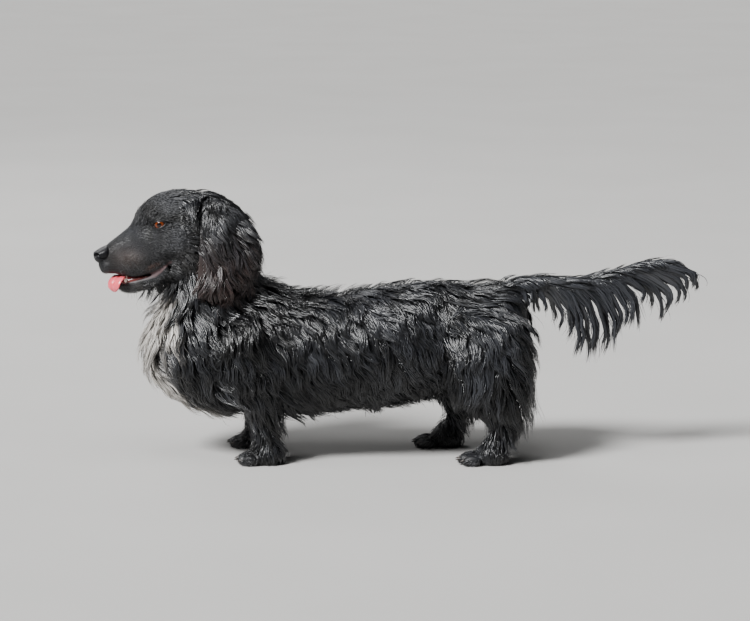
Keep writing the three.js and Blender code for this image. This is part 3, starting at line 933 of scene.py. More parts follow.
def strand_mesh(name, bundles, material):
    """One piece of many closed, tapered, three-sided strands. Each bundle is a dict of paths (n, k + 1, 3)
    in mm from root to tip, half widths (n, k), up vectors (n, k, 3), marks (n, 4) and root uv (n, 2)."""
    points, quads, triangles, colours, places, rounded = [], [], [], [], [], []
    start = 0
    for b in bundles:
        path, half, up = b["paths"], b["half"], b["up"]
        n, k = half.shape
        ahead = unit(np.gradient(path, axis=1)[:, :k])
        side = unit(np.cross(ahead, up))
        ridge = unit(np.cross(side, ahead))
        ring = np.stack([
            path[:, :k] - side * half[..., None],
            path[:, :k] + side * half[..., None],
            path[:, :k] + ridge * half[..., None] * b.get("ridge", FLAT),
        ], axis=2).reshape(n, k * 3, 3)
        points.append(np.concatenate([ring, path[:, k:k + 1]], axis=1).reshape(-1, 3))
        first = start + np.arange(n)[:, None, None] * (3 * k + 1)
        rings = np.arange(k - 1)[None, :, None] * 3
        for a, c in ((0, 1), (1, 2), (2, 0)):
            quads.append((first + rings + np.array([a, a + 3, c + 3, c])).reshape(-1, 4))
            rounded.append(np.full(n * (k - 1), a > 0))  # the underside stays flat
        last, tip = 3 * (k - 1), 3 * k
        caps = np.array([[0, 1, 2], [last, tip, last + 1], [last + 1, tip, last + 2], [last + 2, tip, last]])
        triangles.append((first + caps[None]).reshape(-1, 3))
        along = np.concatenate([np.repeat(np.arange(k) / k, 3), [1.0]])
        across = np.concatenate([np.tile([-1.0, 1.0, 0.0], k), [0.0]])
        mark = np.repeat(b["marks"][:, None, :], 3 * k + 1, axis=1).copy()
        mark[..., 3] = along[None]
        colours.append(mark.reshape(-1, 4))
        patch_uv = np.stack([across * UV_PATCH[0], (along - 0.5) * UV_PATCH[1]], axis=-1)
        spot = b["uv"][:, None, :] + patch_uv[None]
        places.append(spot.reshape(-1, 2))
        start += n * (3 * k + 1)
    points = np.concatenate(points) * MM
    quads, triangles = np.concatenate(quads), np.concatenate(triangles)
    loops = np.concatenate([quads.ravel(), triangles.ravel()]).astype(np.int32)
    mesh = bpy.data.meshes.new(name)
    mesh.vertices.add(len(points))
    mesh.vertices.foreach_set("co", points.astype(np.float32).ravel())
    mesh.loops.add(len(loops))
    mesh.loops.foreach_set("vertex_index", loops)
    mesh.polygons.add(len(quads) + len(triangles))
    begins = np.concatenate([np.arange(len(quads)) * 4, len(quads) * 4 + np.arange(len(triangles)) * 3])
    mesh.polygons.foreach_set("loop_start", begins.astype(np.int32))
    mesh.polygons.foreach_set("use_smooth", np.concatenate(rounded + [np.ones(len(triangles), bool)]))
    mesh.update(calc_edges=True)
    layer = mesh.uv_layers.new(name="OFBake")
    layer.data.foreach_set("uv", np.concatenate(places)[loops].astype(np.float32).ravel())
    write_attribute(mesh, "markings", np.concatenate(colours))
    return settle(add_object(name, mesh), material)


def cord_bundle(path, half, up, ridge=FLAT):
    """A single strand through path, as a bundle of one."""
    k = len(path) - 1
    return {
        "paths": path[None], "half": np.broadcast_to(half, (1, k)), "up": np.broadcast_to(up, (1, k, 3)),
        "marks": np.array([[0, 0, 0.5, 0.0]]), "uv": np.array([[0.5, 0.5]]), "ridge": ridge,
    }


def unwrap(ob):
    """Lays the skin out flat in the OFBake map, where every strand's patch then finds its root."""
    ob.data.uv_layers.new(name="OFBake")
    bpy.context.view_layer.objects.active = ob
    ob.select_set(True)
    bpy.ops.object.mode_set(mode="EDIT")
    bpy.ops.mesh.select_all(action="SELECT")
    bpy.ops.uv.smart_project(angle_limit=1.15, island_margin=0.003)
    bpy.ops.object.mode_set(mode="OBJECT")
    ob.select_set(False)


def tree_of(points):
    tree = kdtree.KDTree(len(points))
    for i, p in enumerate(points):
        tree.insert(p, i)
    tree.balance()
    return tree


# ---------------------------------------------------------------- the pieces
class DOG_OT_skin(Operator):
    """Grows the dog's skin, from lips to tail tip, as one closed piece"""

    bl_idname = "dog.skin"
    bl_label = "Skin"

    def execute(self, context):
        grain = context.scene.dog_body
        skin = body_form(grain.voxel_body)
        others = [head_form(grain.voxel_head)] + [ear_form(sign) for _, sign in SIDES] + [tail_form()]
        forms = [tree_of(coordinates(ob.data)) for ob in (skin, *others)]
        for limb, side in PAWS:
            combine(skin, paw_form(limb, side), "UNION")
        for ob in others:
            combine(skin, ob, "UNION")
        skin.name = skin.data.name = "skin"
        away = np.array([[form.find(p)[2] for p in coordinates(skin.data)] for form in forms])
        part = away.argmin(axis=0)
        at_neck = smooth(0.012, 0.003, np.sort(away, axis=0)[1]) * (part < EAR_LEFT)
        ease(skin, at_neck, 14)
        co, may_ease = shape_lids(sculpt_head(coordinates(skin.data) / MM, np.nonzero(part == HEAD)[0]))
        set_coordinates(skin.data, co * MM)
        ease(skin, may_ease, 12)
        co = coordinates(skin.data) / MM
        unwrap(skin)
        white, rust, bare = markings(co, part)
        # Its third channel is the hair's lightness, painted highlights and painted shade in it.
        marks = np.stack([white, rust, hair_tone_and_painted_light(co, part), np.ones(len(co))], axis=1)
        write_attribute(skin.data, "markings", marks)
        write_attribute(skin.data, "bare", bare)
        write_attribute(skin.data, "flesh", flesh_colour(co))
        write_attribute(skin.data, "part", part.astype(float))
        smooth_shade(skin.data)
        settle(skin, skin_material(), FLESH)
        return {"FINISHED"}


LIP = np.array([0.018, 0.014, 0.015])
LOWER_LIP_FRONT = np.array([0.022, 0.009, 0.01])
LOWER_LIP_BACK = np.array([0.05, 0.028, 0.03])
MOUTH_FLESH = np.array([0.075, 0.02, 0.02])


def flesh_colour(co):
    """Colour of the bare skin: dark lips, and dark red inside the mouth."""
    q = dog_to_head(co)
    upper, lower = lip_line(q[:, 1])
    rim = np.minimum(np.abs(q[:, 2] - upper), np.abs(q[:, 2] - lower))
    inward = smooth(2.2, 5.0, rim)[:, None]
    back = smooth(-92, -78, q[:, 1])[:, None]
    below = smooth(-0.5, 0.5, (upper + lower) / 2 - q[:, 2])[:, None]
    edge = LIP * (1 - below) + (LOWER_LIP_FRONT * (1 - back) + LOWER_LIP_BACK * back) * below
    colour = edge * (1 - inward) + MOUTH_FLESH * inward
    return np.hstack([colour, np.ones((len(co), 1))])


CORNEA = 0.62  # how far it stands out of the eyeball, in mm
IRIS_EDGE = 41.0  # degrees from the eye's axis


def eyeball(side, sign, bm, layer):
    """Adds an eyeball with its cornea, looking where the dog glances."""
    centre, radius, _, _, _ = eye_frame(side, sign)
    angle = sign * math.radians(42) + bpy.context.scene.dog_face.glance
    gaze = turned(np.array([[math.sin(angle), -math.cos(angle), 0.03]]))[0]
    made, sphere = ball(bm, 64, 64)
    turn = Vector(gaze).to_track_quat("Z", "Y").to_matrix()
    from_axis = np.degrees(np.arccos(np.clip(sphere[:, 2], -1, 1)))
    bulge = CORNEA * smooth(44, 0, from_axis) ** 0.8
    move(made, (sphere * (radius + bulge)[:, None]) @ np.array(turn).T + centre)
    for v, a in zip(made, from_axis):
        v[layer] = a / IRIS_EDGE


def lid_rim(lid, centre, radius, ahead, along, up):
    """A cord along the edge of one lid, as a bundle of one strand."""
    across = np.linspace(-LID_HALF * 1.01, LID_HALF * 1.01, 26)
    height = (lid_edges(across)[lid] * 1.02)[:, None]
    across = across[:, None]
    d = np.cos(height) * np.cos(across) * ahead + np.cos(height) * np.sin(across) * along
    d = unit(d + np.sin(height) * up)
    return cord_bundle(centre + d * (radius + 0.75), 0.75, d[:-1], ridge=1.0)


class DOG_OT_eyes(Operator):
    """Makes both eyeballs, with their irises, and the dark wet rims of the lids"""

    bl_idname = "dog.eyes"
    bl_label = "Eyes"

    def execute(self, context):
        material = eye_material()
        rim_material = wet_material("eyelid_rim", (0.008, 0.006, 0.006), 0.45, 500.0)
        for side, sign in SIDES:
            bm = bmesh.new()
            eyeball(side, sign, bm, bm.verts.layers.float.new("from_pupil"))
            finish_piece(f"eyeball_{side}", bm, material, [f"eye_{side}"])
            rims = [lid_rim(lid, *eye_frame(side, sign)) for lid in (0, 1)]
            strand_mesh(f"eyelid_rim_{side}", rims, rim_material)
        return {"FINISHED"}


NOSE_AT = np.array([0.0, -150.8, -9.6])  # middle of the pad in the head's frame
NOSE_BOXY = 2.35  # 2 is round
NOSTRIL = np.array([10.2, -7.6, -0.9])  # from the middle of the pad, on the left side
NOSTRIL_HALF = np.array([4.4, 4.6, 3.1])


class DOG_OT_nose(Operator):
    """Makes the nose pad, with its nostrils, their slits and the groove between them"""

    bl_idname = "dog.nose"
    bl_label = "Nose"

    def execute(self, context):
        bm = bmesh.new()
        made, sphere = ball(bm, 112, 96)
        d = sphere[:, [0, 2, 1]] * (1, -1, 1)
        q = d / (np.abs(d) ** NOSE_BOXY).sum(axis=1, keepdims=True) ** (1 / NOSE_BOXY)
        high = q[:, 2]
        above, below = np.maximum(0, high), np.maximum(0, -high)
        back = smooth(-1.0, 0.4, q[:, 1])
        front = smooth(0.3, -0.2, q[:, 1])
        x = q[:, 0] * 17.0 * (1 + 0.07 * high - 0.1 * below**1.5) * (0.84 + 0.16 * back)
        y = q[:, 1] * 13.0 + 1.2 * above**2 * smooth(0.1, -0.5, q[:, 1])
        z = high * np.where(high > 0, 11.8, 13.4) + 0.42 * np.minimum(0, y - 6) * above
        z += 0.12 * np.maximum(0, y) * high
        for _, sign in SIDES:
            away = ((np.stack([x * sign, y, z], axis=1) - NOSTRIL) / NOSTRIL_HALF) ** 2
            away = away.sum(axis=1)
            hole = np.exp(-(away**1.7))
            rim = np.exp(-((away**0.5 - 1.35) ** 2) / 0.08) * front
            t = np.clip((y + 6.0) / 11.0, 0, 1)
            slit = np.exp(-((z + 2.4 + 2.6 * np.sin(t * 2.4)) ** 2)) * smooth(8.0, 10.0, sign * x)
            slit *= smooth(-5.5, -3.0, y) * smooth(6.5, 4.5, y)
            x += sign * (0.5 * rim - 3.2 * hole - 2.2 * slit)
            y += 4.6 * hole - 0.4 * rim
        y += 1.3 * np.exp(-((x / 0.8) ** 2)) * smooth(4.5, -1.0, z) * front  # the groove
        move(made, head_to_dog(np.stack([x, y, z], axis=1) + NOSE_AT))
        bmesh.ops.recalc_face_normals(bm, faces=bm.faces)
        finish_piece("nose_pad", bm, nose_material(), ["nose"])
        return {"FINISHED"}


TONGUE = [
    (-68, -41.5, 0, 12, 2.5, 4),
    (-90, -47, 0, 13, 3, 5),
    (-108, -46.5, 0, 12.6, 3, 5),
    (-122, -43.5, 0, 12.2, 2.8, 4),
    (-134, -43, 0, 12.8, 2.6, 3.2),
    (-141.5, -48, 0, 13.3, 2.3, 2.6),
    (-143.5, -55, 0, 11.5, 2, 2.2),
    (-142, -61, 0, 7.5, 1.7, 1.7),
]
TONGUE_BEND = -110.0  # from here forward the tongue turns to the dog's left
TONGUE_TURN = math.radians(36)
CANINE = 8.0  # a tooth higher than this curves back
SOCKET = 2.0  # how deep the teeth stand in the gum
TEETH = [  # x, y, base z, height, half width, half depth, lean outwards
    (12.4, -119.5, -47.5, 10.0, 3.0, 3.1, 1.3),
    (7.6, -124.0, -49.5, 4.0, 1.5, 1.2, 0.2),
    (4.6, -125.6, -49.5, 3.7, 1.4, 1.1, 0.1),
    (1.6, -126.3, -49.5, 3.4, 1.3, 1.0, 0.0),
    (14.2, -108.0, -47.5, 3.0, 1.1, 1.9, 0.2),
    (16.0, -100.0, -46.8, 3.6, 1.3, 2.5, 0.2),
    (18.2, -91.0, -45.3, 4.0, 1.4, 3.0, 0.2),
]
GUM = [
    (-128, -49.5, 3, 3.4, 3.4, 4),
    (-122, -48.5, 9.5, 3.6, 3.6, 4),
    (-113, -46.8, 13.2, 2.8, 4.4, 4),
    (-100, -44.5, 16.8, 2.6, 4.4, 4),
    (-88, -42, 20.3, 2.4, 3.4, 4),
    (-80, -38, 23, 2.2, 2.4, 4),
]


class DOG_OT_mouth(Operator):
    """Makes the tongue and the lower teeth with their gum"""

    bl_idname = "dog.mouth"
    bl_label = "Mouth"

    def execute(self, context):
        bm = bmesh.new()
        made = loft(bm, TONGUE, facing=None, around=72, along=96, end=0.16, square=2.3)
        co = np.array([v.co for v in made]) / MM
        spine = spline(np.array(TONGUE, float)[:, [2, 0, 1]], np.linspace(0, 1, 200))
        low = spine[np.argmin(((co[:, None, 1:] - spine[None, :, 1:]) ** 2).sum(axis=2), axis=1)]
        groove = np.exp(-((co[:, 0] / 2.0) ** 2)) * smooth(-80, -95, co[:, 1])
        co[:, 1:] += (low - co)[:, 1:] * (0.55 * groove)[:, None]
        curl = smooth(6, 13, np.abs(co[:, 0]))
        lift, wave = 1.6 * smooth(-146, -138, co[:, 1]), 0.35 * np.sin(co[:, 1] / 2.7 + co[:, 0])
        co[:, 2] += curl * (lift + wave)
        ahead = co[:, 1] - TONGUE_BEND
        turn = TONGUE_TURN * smooth(0, -28, ahead)
        co[:, 0], co[:, 1] = (
            co[:, 0] * np.cos(turn) - ahead * np.sin(turn),
            co[:, 0] * np.sin(turn) + ahead * np.cos(turn) + TONGUE_BEND,
        )
        move(made, head_to_dog(co))
        tongue = wet_material("tongue", context.scene.dog_face.tongue, 0.32, 1400.0, 0.25)
        finish_piece("tongue_soft", bm, tongue, ["tongue"])
        bm = bmesh.new()
        gum = bm.verts.layers.float.new("gum")
        for _, sign in SIDES:
            for x, y, z, height, wide, deep, lean in TEETH:
                made, co = ball(bm, 20, 14)
                up = (co[:, 2] + 1) / 2
                taper = 1 - 0.72 * up**1.3
                curve = (1.6 * up**2 - 0.9 * up) * (height > CANINE)
                move(made, head_to_dog(np.stack([
                    co[:, 0] * wide * taper + sign * lean * up + x * sign,
                    co[:, 1] * deep * taper + y + curve,
                    z - SOCKET + (height + SOCKET) * up,
                ], axis=1)))
            for v in loft(bm, one_side(GUM, sign), around=24, along=64, end=0.1, place=head_to_dog):
                v[gum] = 1.0
        finish_piece("lower_teeth", bm, tooth_material())
        return {"FINISHED"}


CLAW_HALF = 2.1  # half width of a claw at its root


class DOG_OT_claws(Operator):
    """Makes the sixteen curved claws, one piece for each paw"""

    bl_idname = "dog.claws"
    bl_label = "Claws"

    def execute(self, context):
        material = claw_material()
        for limb, side in PAWS:
            bm = bmesh.new()
            names = [f"claw_{limb}_{side}_{i}" for i in range(1, 5)]
            for name in names:
                low, high = box_mm(name)
                made, co = ball(bm, 20, 24)
                t = (co[:, 2] + 1) / 2
                wide = CLAW_HALF * (1 - 0.8 * t**1.5)
                x = (low[0] + high[0]) / 2 + co[:, 0] * wide
                y = high[1] - t * (high[1] - low[1] - 0.6)
                z = high[2] - 2.3 - t**2 * (high[2] - low[2] - 4.6) + co[:, 1] * wide * 1.15
                move(made, np.stack([x, y, z], axis=1))
            bmesh.ops.recalc_face_normals(bm, faces=bm.faces)
            finish_piece(f"claws_{limb}_{side}", bm, material, names)
        return {"FINISHED"}


# ---------------------------------------------------------------- how the hair lies
# Each row is a place on the dog's left side, x, y, z in mm, and the hair there: its length, how high its tips
# stand off the skin, the way it lies (x, y, z), how closely it follows the skin, the size of its waves, and
# strands per square cm.
BODY_HAIR = [
    (0, -235, 245, 42, 16, 0.1, 0.95, -0.35, 0.80, 3.2, 9),
    (30, -195, 235, 44, 16, 0.15, 0.95, -0.5, 0.80, 3.6, 9),
    (15, -158, 225, 38, 16, 0.2, 0.95, -0.35, 0.85, 3.0, 9),
    (0, -130, 232, 34, 20, 0.15, 1.0, 0.2, 0.35, 2.8, 10),
    (16, -100, 224, 36, 14, 0.7, 0.75, -0.3, 0.88, 2.8, 8),
    (16, -20, 238, 34, 10, 0.7, 0.75, -0.3, 0.95, 2.6, 8),
    (16, 60, 244, 34, 10, 0.7, 0.75, -0.3, 0.95, 2.6, 8),
    (44, -105, 214, 42, 11, 0.4, 0.55, -0.8, 0.88, 4.2, 9),
    (44, -20, 222, 42, 10, 0.4, 0.55, -0.8, 0.90, 4.0, 9),
    (44, 65, 226, 42, 10, 0.4, 0.5, -0.85, 0.90, 3.8, 9),
    (15, 130, 242, 46, 13, 0.3, 1.0, -0.3, 0.90, 2.8, 11),
    (62, -140, 190, 46, 11, 0.1, 0.5, -0.85, 0.90, 4.4, 10),
    (66, -80, 160, 52, 12, 0.1, 0.6, -0.8, 0.88, 5.0, 10),
    (66, -80, 115, 60, 14, 0.0, 0.5, -0.85, 0.60, 6.0, 10),
    (62, -10, 180, 48, 11, 0.1, 0.5, -0.85, 0.88, 4.8, 9),
    (62, 10, 120, 60, 14, 0.0, 0.5, -0.9, 0.55, 6.0, 10),
    (56, 60, 195, 44, 10, 0.1, 0.5, -0.85, 0.90, 4.0, 9),
    (30, -120, 76, 52, 14, 0.1, 0.5, -0.85, 0.50, 3.4, 7),
    (52, 78, 122, 58, 12, 0.0, 0.15, -1.0, 0.40, 5.0, 9),
    (34, -30, 86, 62, 14, 0.1, 0.45, -0.9, 0.35, 5.5, 8),
    (34, 50, 104, 62, 14, 0.1, 0.3, -0.95, 0.30, 3.4, 8),
    (0, -346, 160, 48, 17, 0.15, 0.15, -1.0, 0.68, 4.6, 14),
    (0, -330, 205, 58, 22, 0.15, 0.0, -1.0, 0.45, 4.6, 13),
    (30, -326, 195, 58, 18, 0.3, 0.1, -1.0, 0.55, 4.6, 12),
    (20, -332, 120, 52, 8, 0.15, 0.5, -0.9, 0.8, 4.6, 12),
    (25, -290, 88, 54, 13, 0.15, 0.5, -0.9, 0.55, 4.2, 10),
    (50, -292, 150, 54, 15, 0.2, 0.3, -1.0, 0.70, 4.6, 11),
    (0, -312, 262, 36, 20, 0.05, -0.25, -1.0, 0.25, 3.6, 15),
    (25, -306, 255, 40, 16, 0.2, -0.1, -1.0, 0.35, 4.0, 13),
    (42, -280, 250, 50, 14, 0.2, 0.35, -0.9, 0.70, 4.6, 11),
    (45, -252, 285, 48, 12, 0.3, 0.55, -0.8, 0.80, 3.4, 10),
    (0, -222, 305, 42, 11, 0.3, 0.8, -0.5, 0.85, 3.0, 9),
    (50, -245, 225, 52, 13, 0.05, 0.7, -0.85, 0.80, 4.2, 10),
    (66, -228, 170, 44, 10, 0.1, 0.4, -0.95, 0.90, 3.4, 10),
    (68, -218, 120, 46, 11, 0.05, 0.45, -0.9, 0.85, 5.6, 10),
    (80, -200, 100, 34, 8, 0.0, 0.3, -1.0, 0.80, 2.8, 10),
    (72, -190, 62, 26, 6, 0.0, 0.2, -1.0, 0.85, 2.2, 10),
    (57, -162, 84, 58, 20, 0.0, 0.5, -0.9, 0.25, 3.8, 10),
    (56, -168, 48, 42, 14, 0.0, 0.45, -0.95, 0.30, 2.8, 10),
    (57, -226, 72, 15, 4, 0.0, 0.05, -1.0, 0.95, 0.8, 10),
    (66, -186, 32, 20, 5, 0.05, 0.15, -1.0, 0.85, 1.4, 14),
    (32, -195, 75, 22, 5, 0.0, 0.3, -1.0, 0.80, 1.6, 6),
    (80, 110, 172, 44, 10, 0.05, 0.3, -1.0, 0.88, 4.4, 10),
    (82, 110, 130, 46, 11, 0.05, 0.35, -0.95, 0.80, 6.0, 10),
    (50, 176, 172, 62, 22, 0.0, 0.7, -0.75, 0.25, 4.6, 11),
    (54, 176, 130, 76, 34, 0.0, 0.7, -0.8, 0.10, 5.0, 12),
    (56, 166, 98, 76, 40, 0.0, 0.8, -0.8, 0.06, 4.6, 12),
    (56, 156, 62, 44, 22, 0.0, 0.6, -0.95, 0.20, 2.8, 12),
    (68, 128, 62, 22, 5, 0.05, 0.2, -1.0, 0.85, 1.5, 13),
    (56, 98, 92, 24, 6, 0.0, 0.1, -1.0, 0.90, 1.6, 9),
    (66, 132, 32, 17, 4, 0.05, 0.05, -1.0, 0.90, 1.0, 14),
    (32, 118, 100, 26, 6, 0.0, 0.3, -1.0, 0.80, 1.6, 6),
    (55, -205, 12, 8, 2.0, 0.0, -0.7, -0.5, 0.95, 0.3, 14),
    (57, 104, 12, 8, 2.0, 0.0, -0.7, -0.5, 0.95, 0.3, 14),
]
# The same for the head, in its own frame.
HEAD_HAIR = [
    (0, -142, 6, 3.5, 0.5, 0.0, 1.0, 0.25, 1.00, 0.0, 60),
    (8, -120, 15, 4.5, 0.6, 0.05, 1.0, 0.35, 1.00, 0.0, 56),
    (0, -104, 38, 6, 1.0, 0.0, 0.6, 0.8, 1.00, 0.0, 48),
    (18, -92, 52, 7, 1.2, 0.1, 0.7, 0.75, 0.90, 0.0, 44),
    (13, -100, 46, 11, 4.5, 0.1, 0.1, 1.0, 0.50, 0.2, 40),
    (0, -85, 64, 8, 1.2, 0.05, 1.0, 0.35, 1.00, 0.2, 36),
    (0, -45, 78, 15, 2.6, 0.1, 1.0, 0.0, 0.90, 0.8, 20),
    (0, -5, 70, 30, 7, 0.2, 0.9, -0.35, 0.85, 2.2, 12),
    (26, -12, 70, 44, 22, 0.9, 0.35, -0.25, 0.15, 3.2, 16),
    (28, 14, 66, 46, 22, 0.85, 0.5, -0.3, 0.15, 3.4, 16),
    (38, -14, 56, 40, 12, 0.6, 0.4, -0.8, 0.40, 2.8, 15),
    (19, -132, -16, 4, 0.5, 0.1, 1.0, -0.25, 1.00, 0.0, 60),
    (22, -110, -14, 4.6, 0.6, 0.1, 1.0, -0.2, 1.00, 0.0, 56),
    (20, -110, -32, 4.5, 0.9, 0.1, 0.8, -0.6, 1.00, 0.0, 56),
    (32, -85, 12, 6, 0.8, 0.1, 1.0, -0.2, 1.00, 0.0, 48),
    (42, -55, 0, 9, 1.3, 0.1, 0.9, -0.45, 0.95, 0.3, 34),
    (44, -50, 45, 8, 1.1, 0.05, 1.0, 0.0, 1.00, 0.2, 34),
    (46, -45, 28, 9, 1.2, 0.05, 1.0, -0.2, 0.95, 0.3, 34),
    (42, -22, -10, 24, 6, 0.1, 0.6, -0.8, 0.80, 1.8, 13),
    (44, -15, 30, 24, 5, 0.1, 0.8, -0.5, 0.85, 1.8, 12),
    (18, -108, -55, 5, 1.1, 0.1, 0.8, -0.6, 0.90, 0.0, 46),
    (0, -127, -62, 6.5, 2.0, 0.0, 0.5, -0.9, 0.70, 0.2, 34),
    (10, -96, -60, 10, 2.6, 0.05, 0.7, -0.75, 0.70, 0.6, 24),
    (16, -66, -56, 32, 12, 0.05, 0.2, -0.95, 0.35, 2.4, 14),
    (20, -82, -36, 4.5, 0.7, 0.1, 0.9, -0.4, 1.00, 0.0, 46),
    (26, -64, -22, 6, 0.9, 0.1, 0.9, -0.5, 1.00, 0.0, 40),
    (27, -66, -36, 8, 1.6, 0.1, 0.7, -0.7, 1.00, 0.2, 30),
    (38, -50, -26, 16, 3.5, 0.1, 0.6, -0.8, 0.90, 1.0, 18),
    (0, -84, -56, 28, 18, 0.0, 0.0, -1.0, 0.10, 2.4, 18),
    (0, -70, -54, 38, 22, 0.0, 0.0, -1.0, 0.10, 3.0, 15),
    (20, -35, -50, 30, 11, 0.05, 0.1, -0.95, 0.50, 3.0, 12),
    (0, -52, -52, 38, 16, 0.05, 0.0, -1.0, 0.25, 3.4, 13),
]
BODY_SHARE = 0.95  # how much of the density in the table grows on the body
NEAR_FIRST = 2.4  # how steeply the nearest rows of a table outweigh the others


def hair_from(table, points, spread_to):
    """The hair at points, blended from the nearest rows of a table for the left side."""
    rows = np.asarray(table, float)
    places = points.copy()
    places[:, 0] = np.abs(places[:, 0])
    away = ((places[:, None, :] - rows[None, :, :3]) ** 2).sum(axis=2)
    weight = 1.0 / (away + spread_to) ** NEAR_FIRST
    weight /= weight.sum(axis=1, keepdims=True)
    length, lift, *flow, cling, wave, density = (weight @ rows[:, 3:]).T
    flow[0] = flow[0] * np.sign(points[:, 0])
    return {
        "length": length, "lift": lift, "flow": unit(np.stack(flow, axis=1)), "cling": cling, "wave": wave,
        "density": density,
    }


def unstrided(p):
    """Points of the legs carried back to where the left ones stand."""
    q = p.copy()
    right = p[:, 0] < -12
    low = smooth(0, 1, (212 - p[:, 2]) / 182.0)
    foreleg = right & (p[:, 1] < -120) & (p[:, 1] > -262)
    hindleg = right & (p[:, 1] > -5)
    q[:, 1] -= np.where(foreleg, STRIDE["fore", "right"], 0.0) * low
    q[:, 1] -= np.where(hindleg, STRIDE["hind", "right"], 0.0) * low * smooth(165, 110, p[:, 2])
    return q


EAR_LENGTHS = [(-60, 24), (-45, 34), (-20, 44), (20, 44), (44, 36), (60, 19)]  # height, and the hair's length
EAR_MIDDLE = [(-70, 64), (-10, 60), (20, 54), (45, 46), (70, 34)]  # height, and x of the ear's middle layer


def ear_hair(q):
    """Hair of the ears at points in the head's frame: long, wavy and hanging."""
    sign, z, one = np.sign(q[:, 0]), q[:, 2], np.ones(len(q))
    down = smooth(60, -40, z)
    rear = smooth(-10, 40, q[:, 1])
    top = smooth(30, 54, z)
    outside = smooth(0.0, 0.3, np.abs(q[:, 0]) - np.interp(z, *zip(*EAR_MIDDLE)))
    flow = np.stack([sign * (0.25 - 0.25 * down), 0.6 * (1 - down) + 0.1 * rear - 0.05, -one], axis=1)
    flow += top[:, None] * np.stack([sign * 0.7, -0.5 + 1.1 * rear, 0.1 * one], axis=1)
    return {
        "length": np.interp(z, *zip(*EAR_LENGTHS)) + 8 * rear,
        "lift": (6 + 3 * down + 9 * rear) * (1 - 0.5 * top),
        "flow": unit(flow + rear[:, None] * np.array([0, 0.5, 0.1])),
        "cling": 0.75 - 0.35 * down - 0.15 * rear,
        "wave": 2.6 + 1.6 * down + rear,
        "density": 7 + 10 * np.maximum(outside, smooth(5, 25, q[:, 1])) + 24 * top,
    }


# Along the tail: y of the root, how far back the tip of the hair lies, and how far it hangs down, in mm.
TAIL_FRINGE = [
    (150, 16, 22), (180, 6, 26), (192, 8, 32), (199, 17, 48), (206, 24, 56), (213, 30, 74), (222, 28, 99),
    (232, 28, 95), (243, 31, 96), (254, 31, 88), (264, 31, 92), (274, 32, 78), (284, 32, 66), (295, 35, 71),
    (305, 39, 70), (315, 38, 54), (326, 47, 57), (337, 46, 45), (348, 42, 39), (359, 44, 34), (371, 40, 28),
    (382, 27, 22), (392, 17, 17), (412, 1, 10),
]


def tail_hair(p, normal):
    """Hair of the tail: close along the top, and a fringe of hanging locks from the sides and underneath."""
    under = smooth(0.75, -0.05, normal[:, 2])
    y, back, drop = np.array(TAIL_FRINGE, float).T
    close = 26 - 20 * smooth(350, 405, p[:, 1])
    back = close + (np.interp(p[:, 1], y, back) - close) * under
    drop = 3 + (np.interp(p[:, 1], y, drop) - 3) * under
    reach = np.stack([np.sign(p[:, 0]) * 5 * (1 - under), back, -drop], axis=1)
    return {
        "length": np.linalg.norm(reach, axis=1) * 1.12, "lift": np.full(len(p), 5.0), "flow": reach,
        "cling": 1 - under, "wave": 1.4 + 1.6 * under, "density": 14 + 9 * under,
        "reach": np.column_stack([reach, under]),
    }


def hair_at(points, normals, part):
    """The hair that grows at points of the skin, by the part of the dog they lie on. reach is where a hanging
    hair's tip lies from its root, and how far it hangs instead of following the skin."""
    hair = hair_from(BODY_HAIR, unstrided(points), 160.0)
    hair["density"] *= BODY_SHARE
    hair["reach"] = np.zeros((len(points), 4))
    q = dog_to_head(points)
    head, ears, tail = part == HEAD, on_ear(part), part == TAIL
    for where, found in (
        (head, hair_from(HEAD_HAIR, q[head], 50.0)), (ears, ear_hair(q[ears])),
        (tail, tail_hair(points[tail], normals[tail])),
    ):
        for key, value in found.items():
            hair[key][where] = turned(value) if key == "flow" and where is not tail else value
    return hair


def hide_density(hide):
    """Strands per square cm on each face of the skin."""
    bare = bare_skin(dog_to_head(hide.middle)) * (hide.middle[:, 2] > HEAD_ABOVE)
    bare = np.maximum(bare, near_eyes(hide.middle))
    return hair_at(hide.middle, hide.facing, hide.part)["density"] * (bare < 0.3)


class Hide:
    """The skin as arrays: where strands can root, and what lies nearest to a point. Lengths are in mm."""

    def __init__(self, ob):
        mesh = ob.data
        mesh.calc_loop_triangles()
        self.corners = read(mesh.loop_triangles, "vertices", 3, np.int32)
        loops = read(mesh.loop_triangles, "loops", 3, np.int32)
        self.uv = read(mesh.uv_layers["OFBake"].data, "uv", 2)[loops]
        self.co = coordinates(mesh) / MM
        self.normals = read(mesh.vertex_normals, "vector", 3).astype(float)
        self.part = read(mesh.attributes["part"].data, "value")[self.corners[:, 0]].astype(int)
        a, b, c = (self.co[self.corners[:, i]] for i in range(3))
        self.area = np.linalg.norm(np.cross(b - a, c - a), axis=1) / 200.0  # square cm
        self.middle = (a + b + c) / 3
        self.facing = unit(self.normals[self.corners].mean(axis=1))
        self.tree = BVHTree.FromPolygons(self.co.tolist(), self.corners.tolist())

    def nearest(self, points):
        """Nearest places on the skin, with the way out of the skin there."""
        found = [self.tree.find_nearest(p) for p in points.tolist()]
        return np.array([f[0] for f in found]), self.facing[np.array([f[2] for f in found])]

    def roots(self, density, rng):
        """Random places, as many as density says per square cm of each face: place, way out, uv, face."""
        total = np.cumsum(self.area * density)
        faces = np.searchsorted(total, np.arange(rng.random(), total[-1], 1.0))
        a, b = rng.random(len(faces)), rng.random(len(faces))
        over = a + b > 1
        a[over], b[over] = 1 - a[over], 1 - b[over]
        share = np.stack([1 - a - b, a, b], axis=1)[..., None]
        corners = self.corners[faces]
        return (
            (self.co[corners] * share).sum(axis=1), unit((self.normals[corners] * share).sum(axis=1)),
            (self.uv[faces] * share).sum(axis=1), faces,
        )


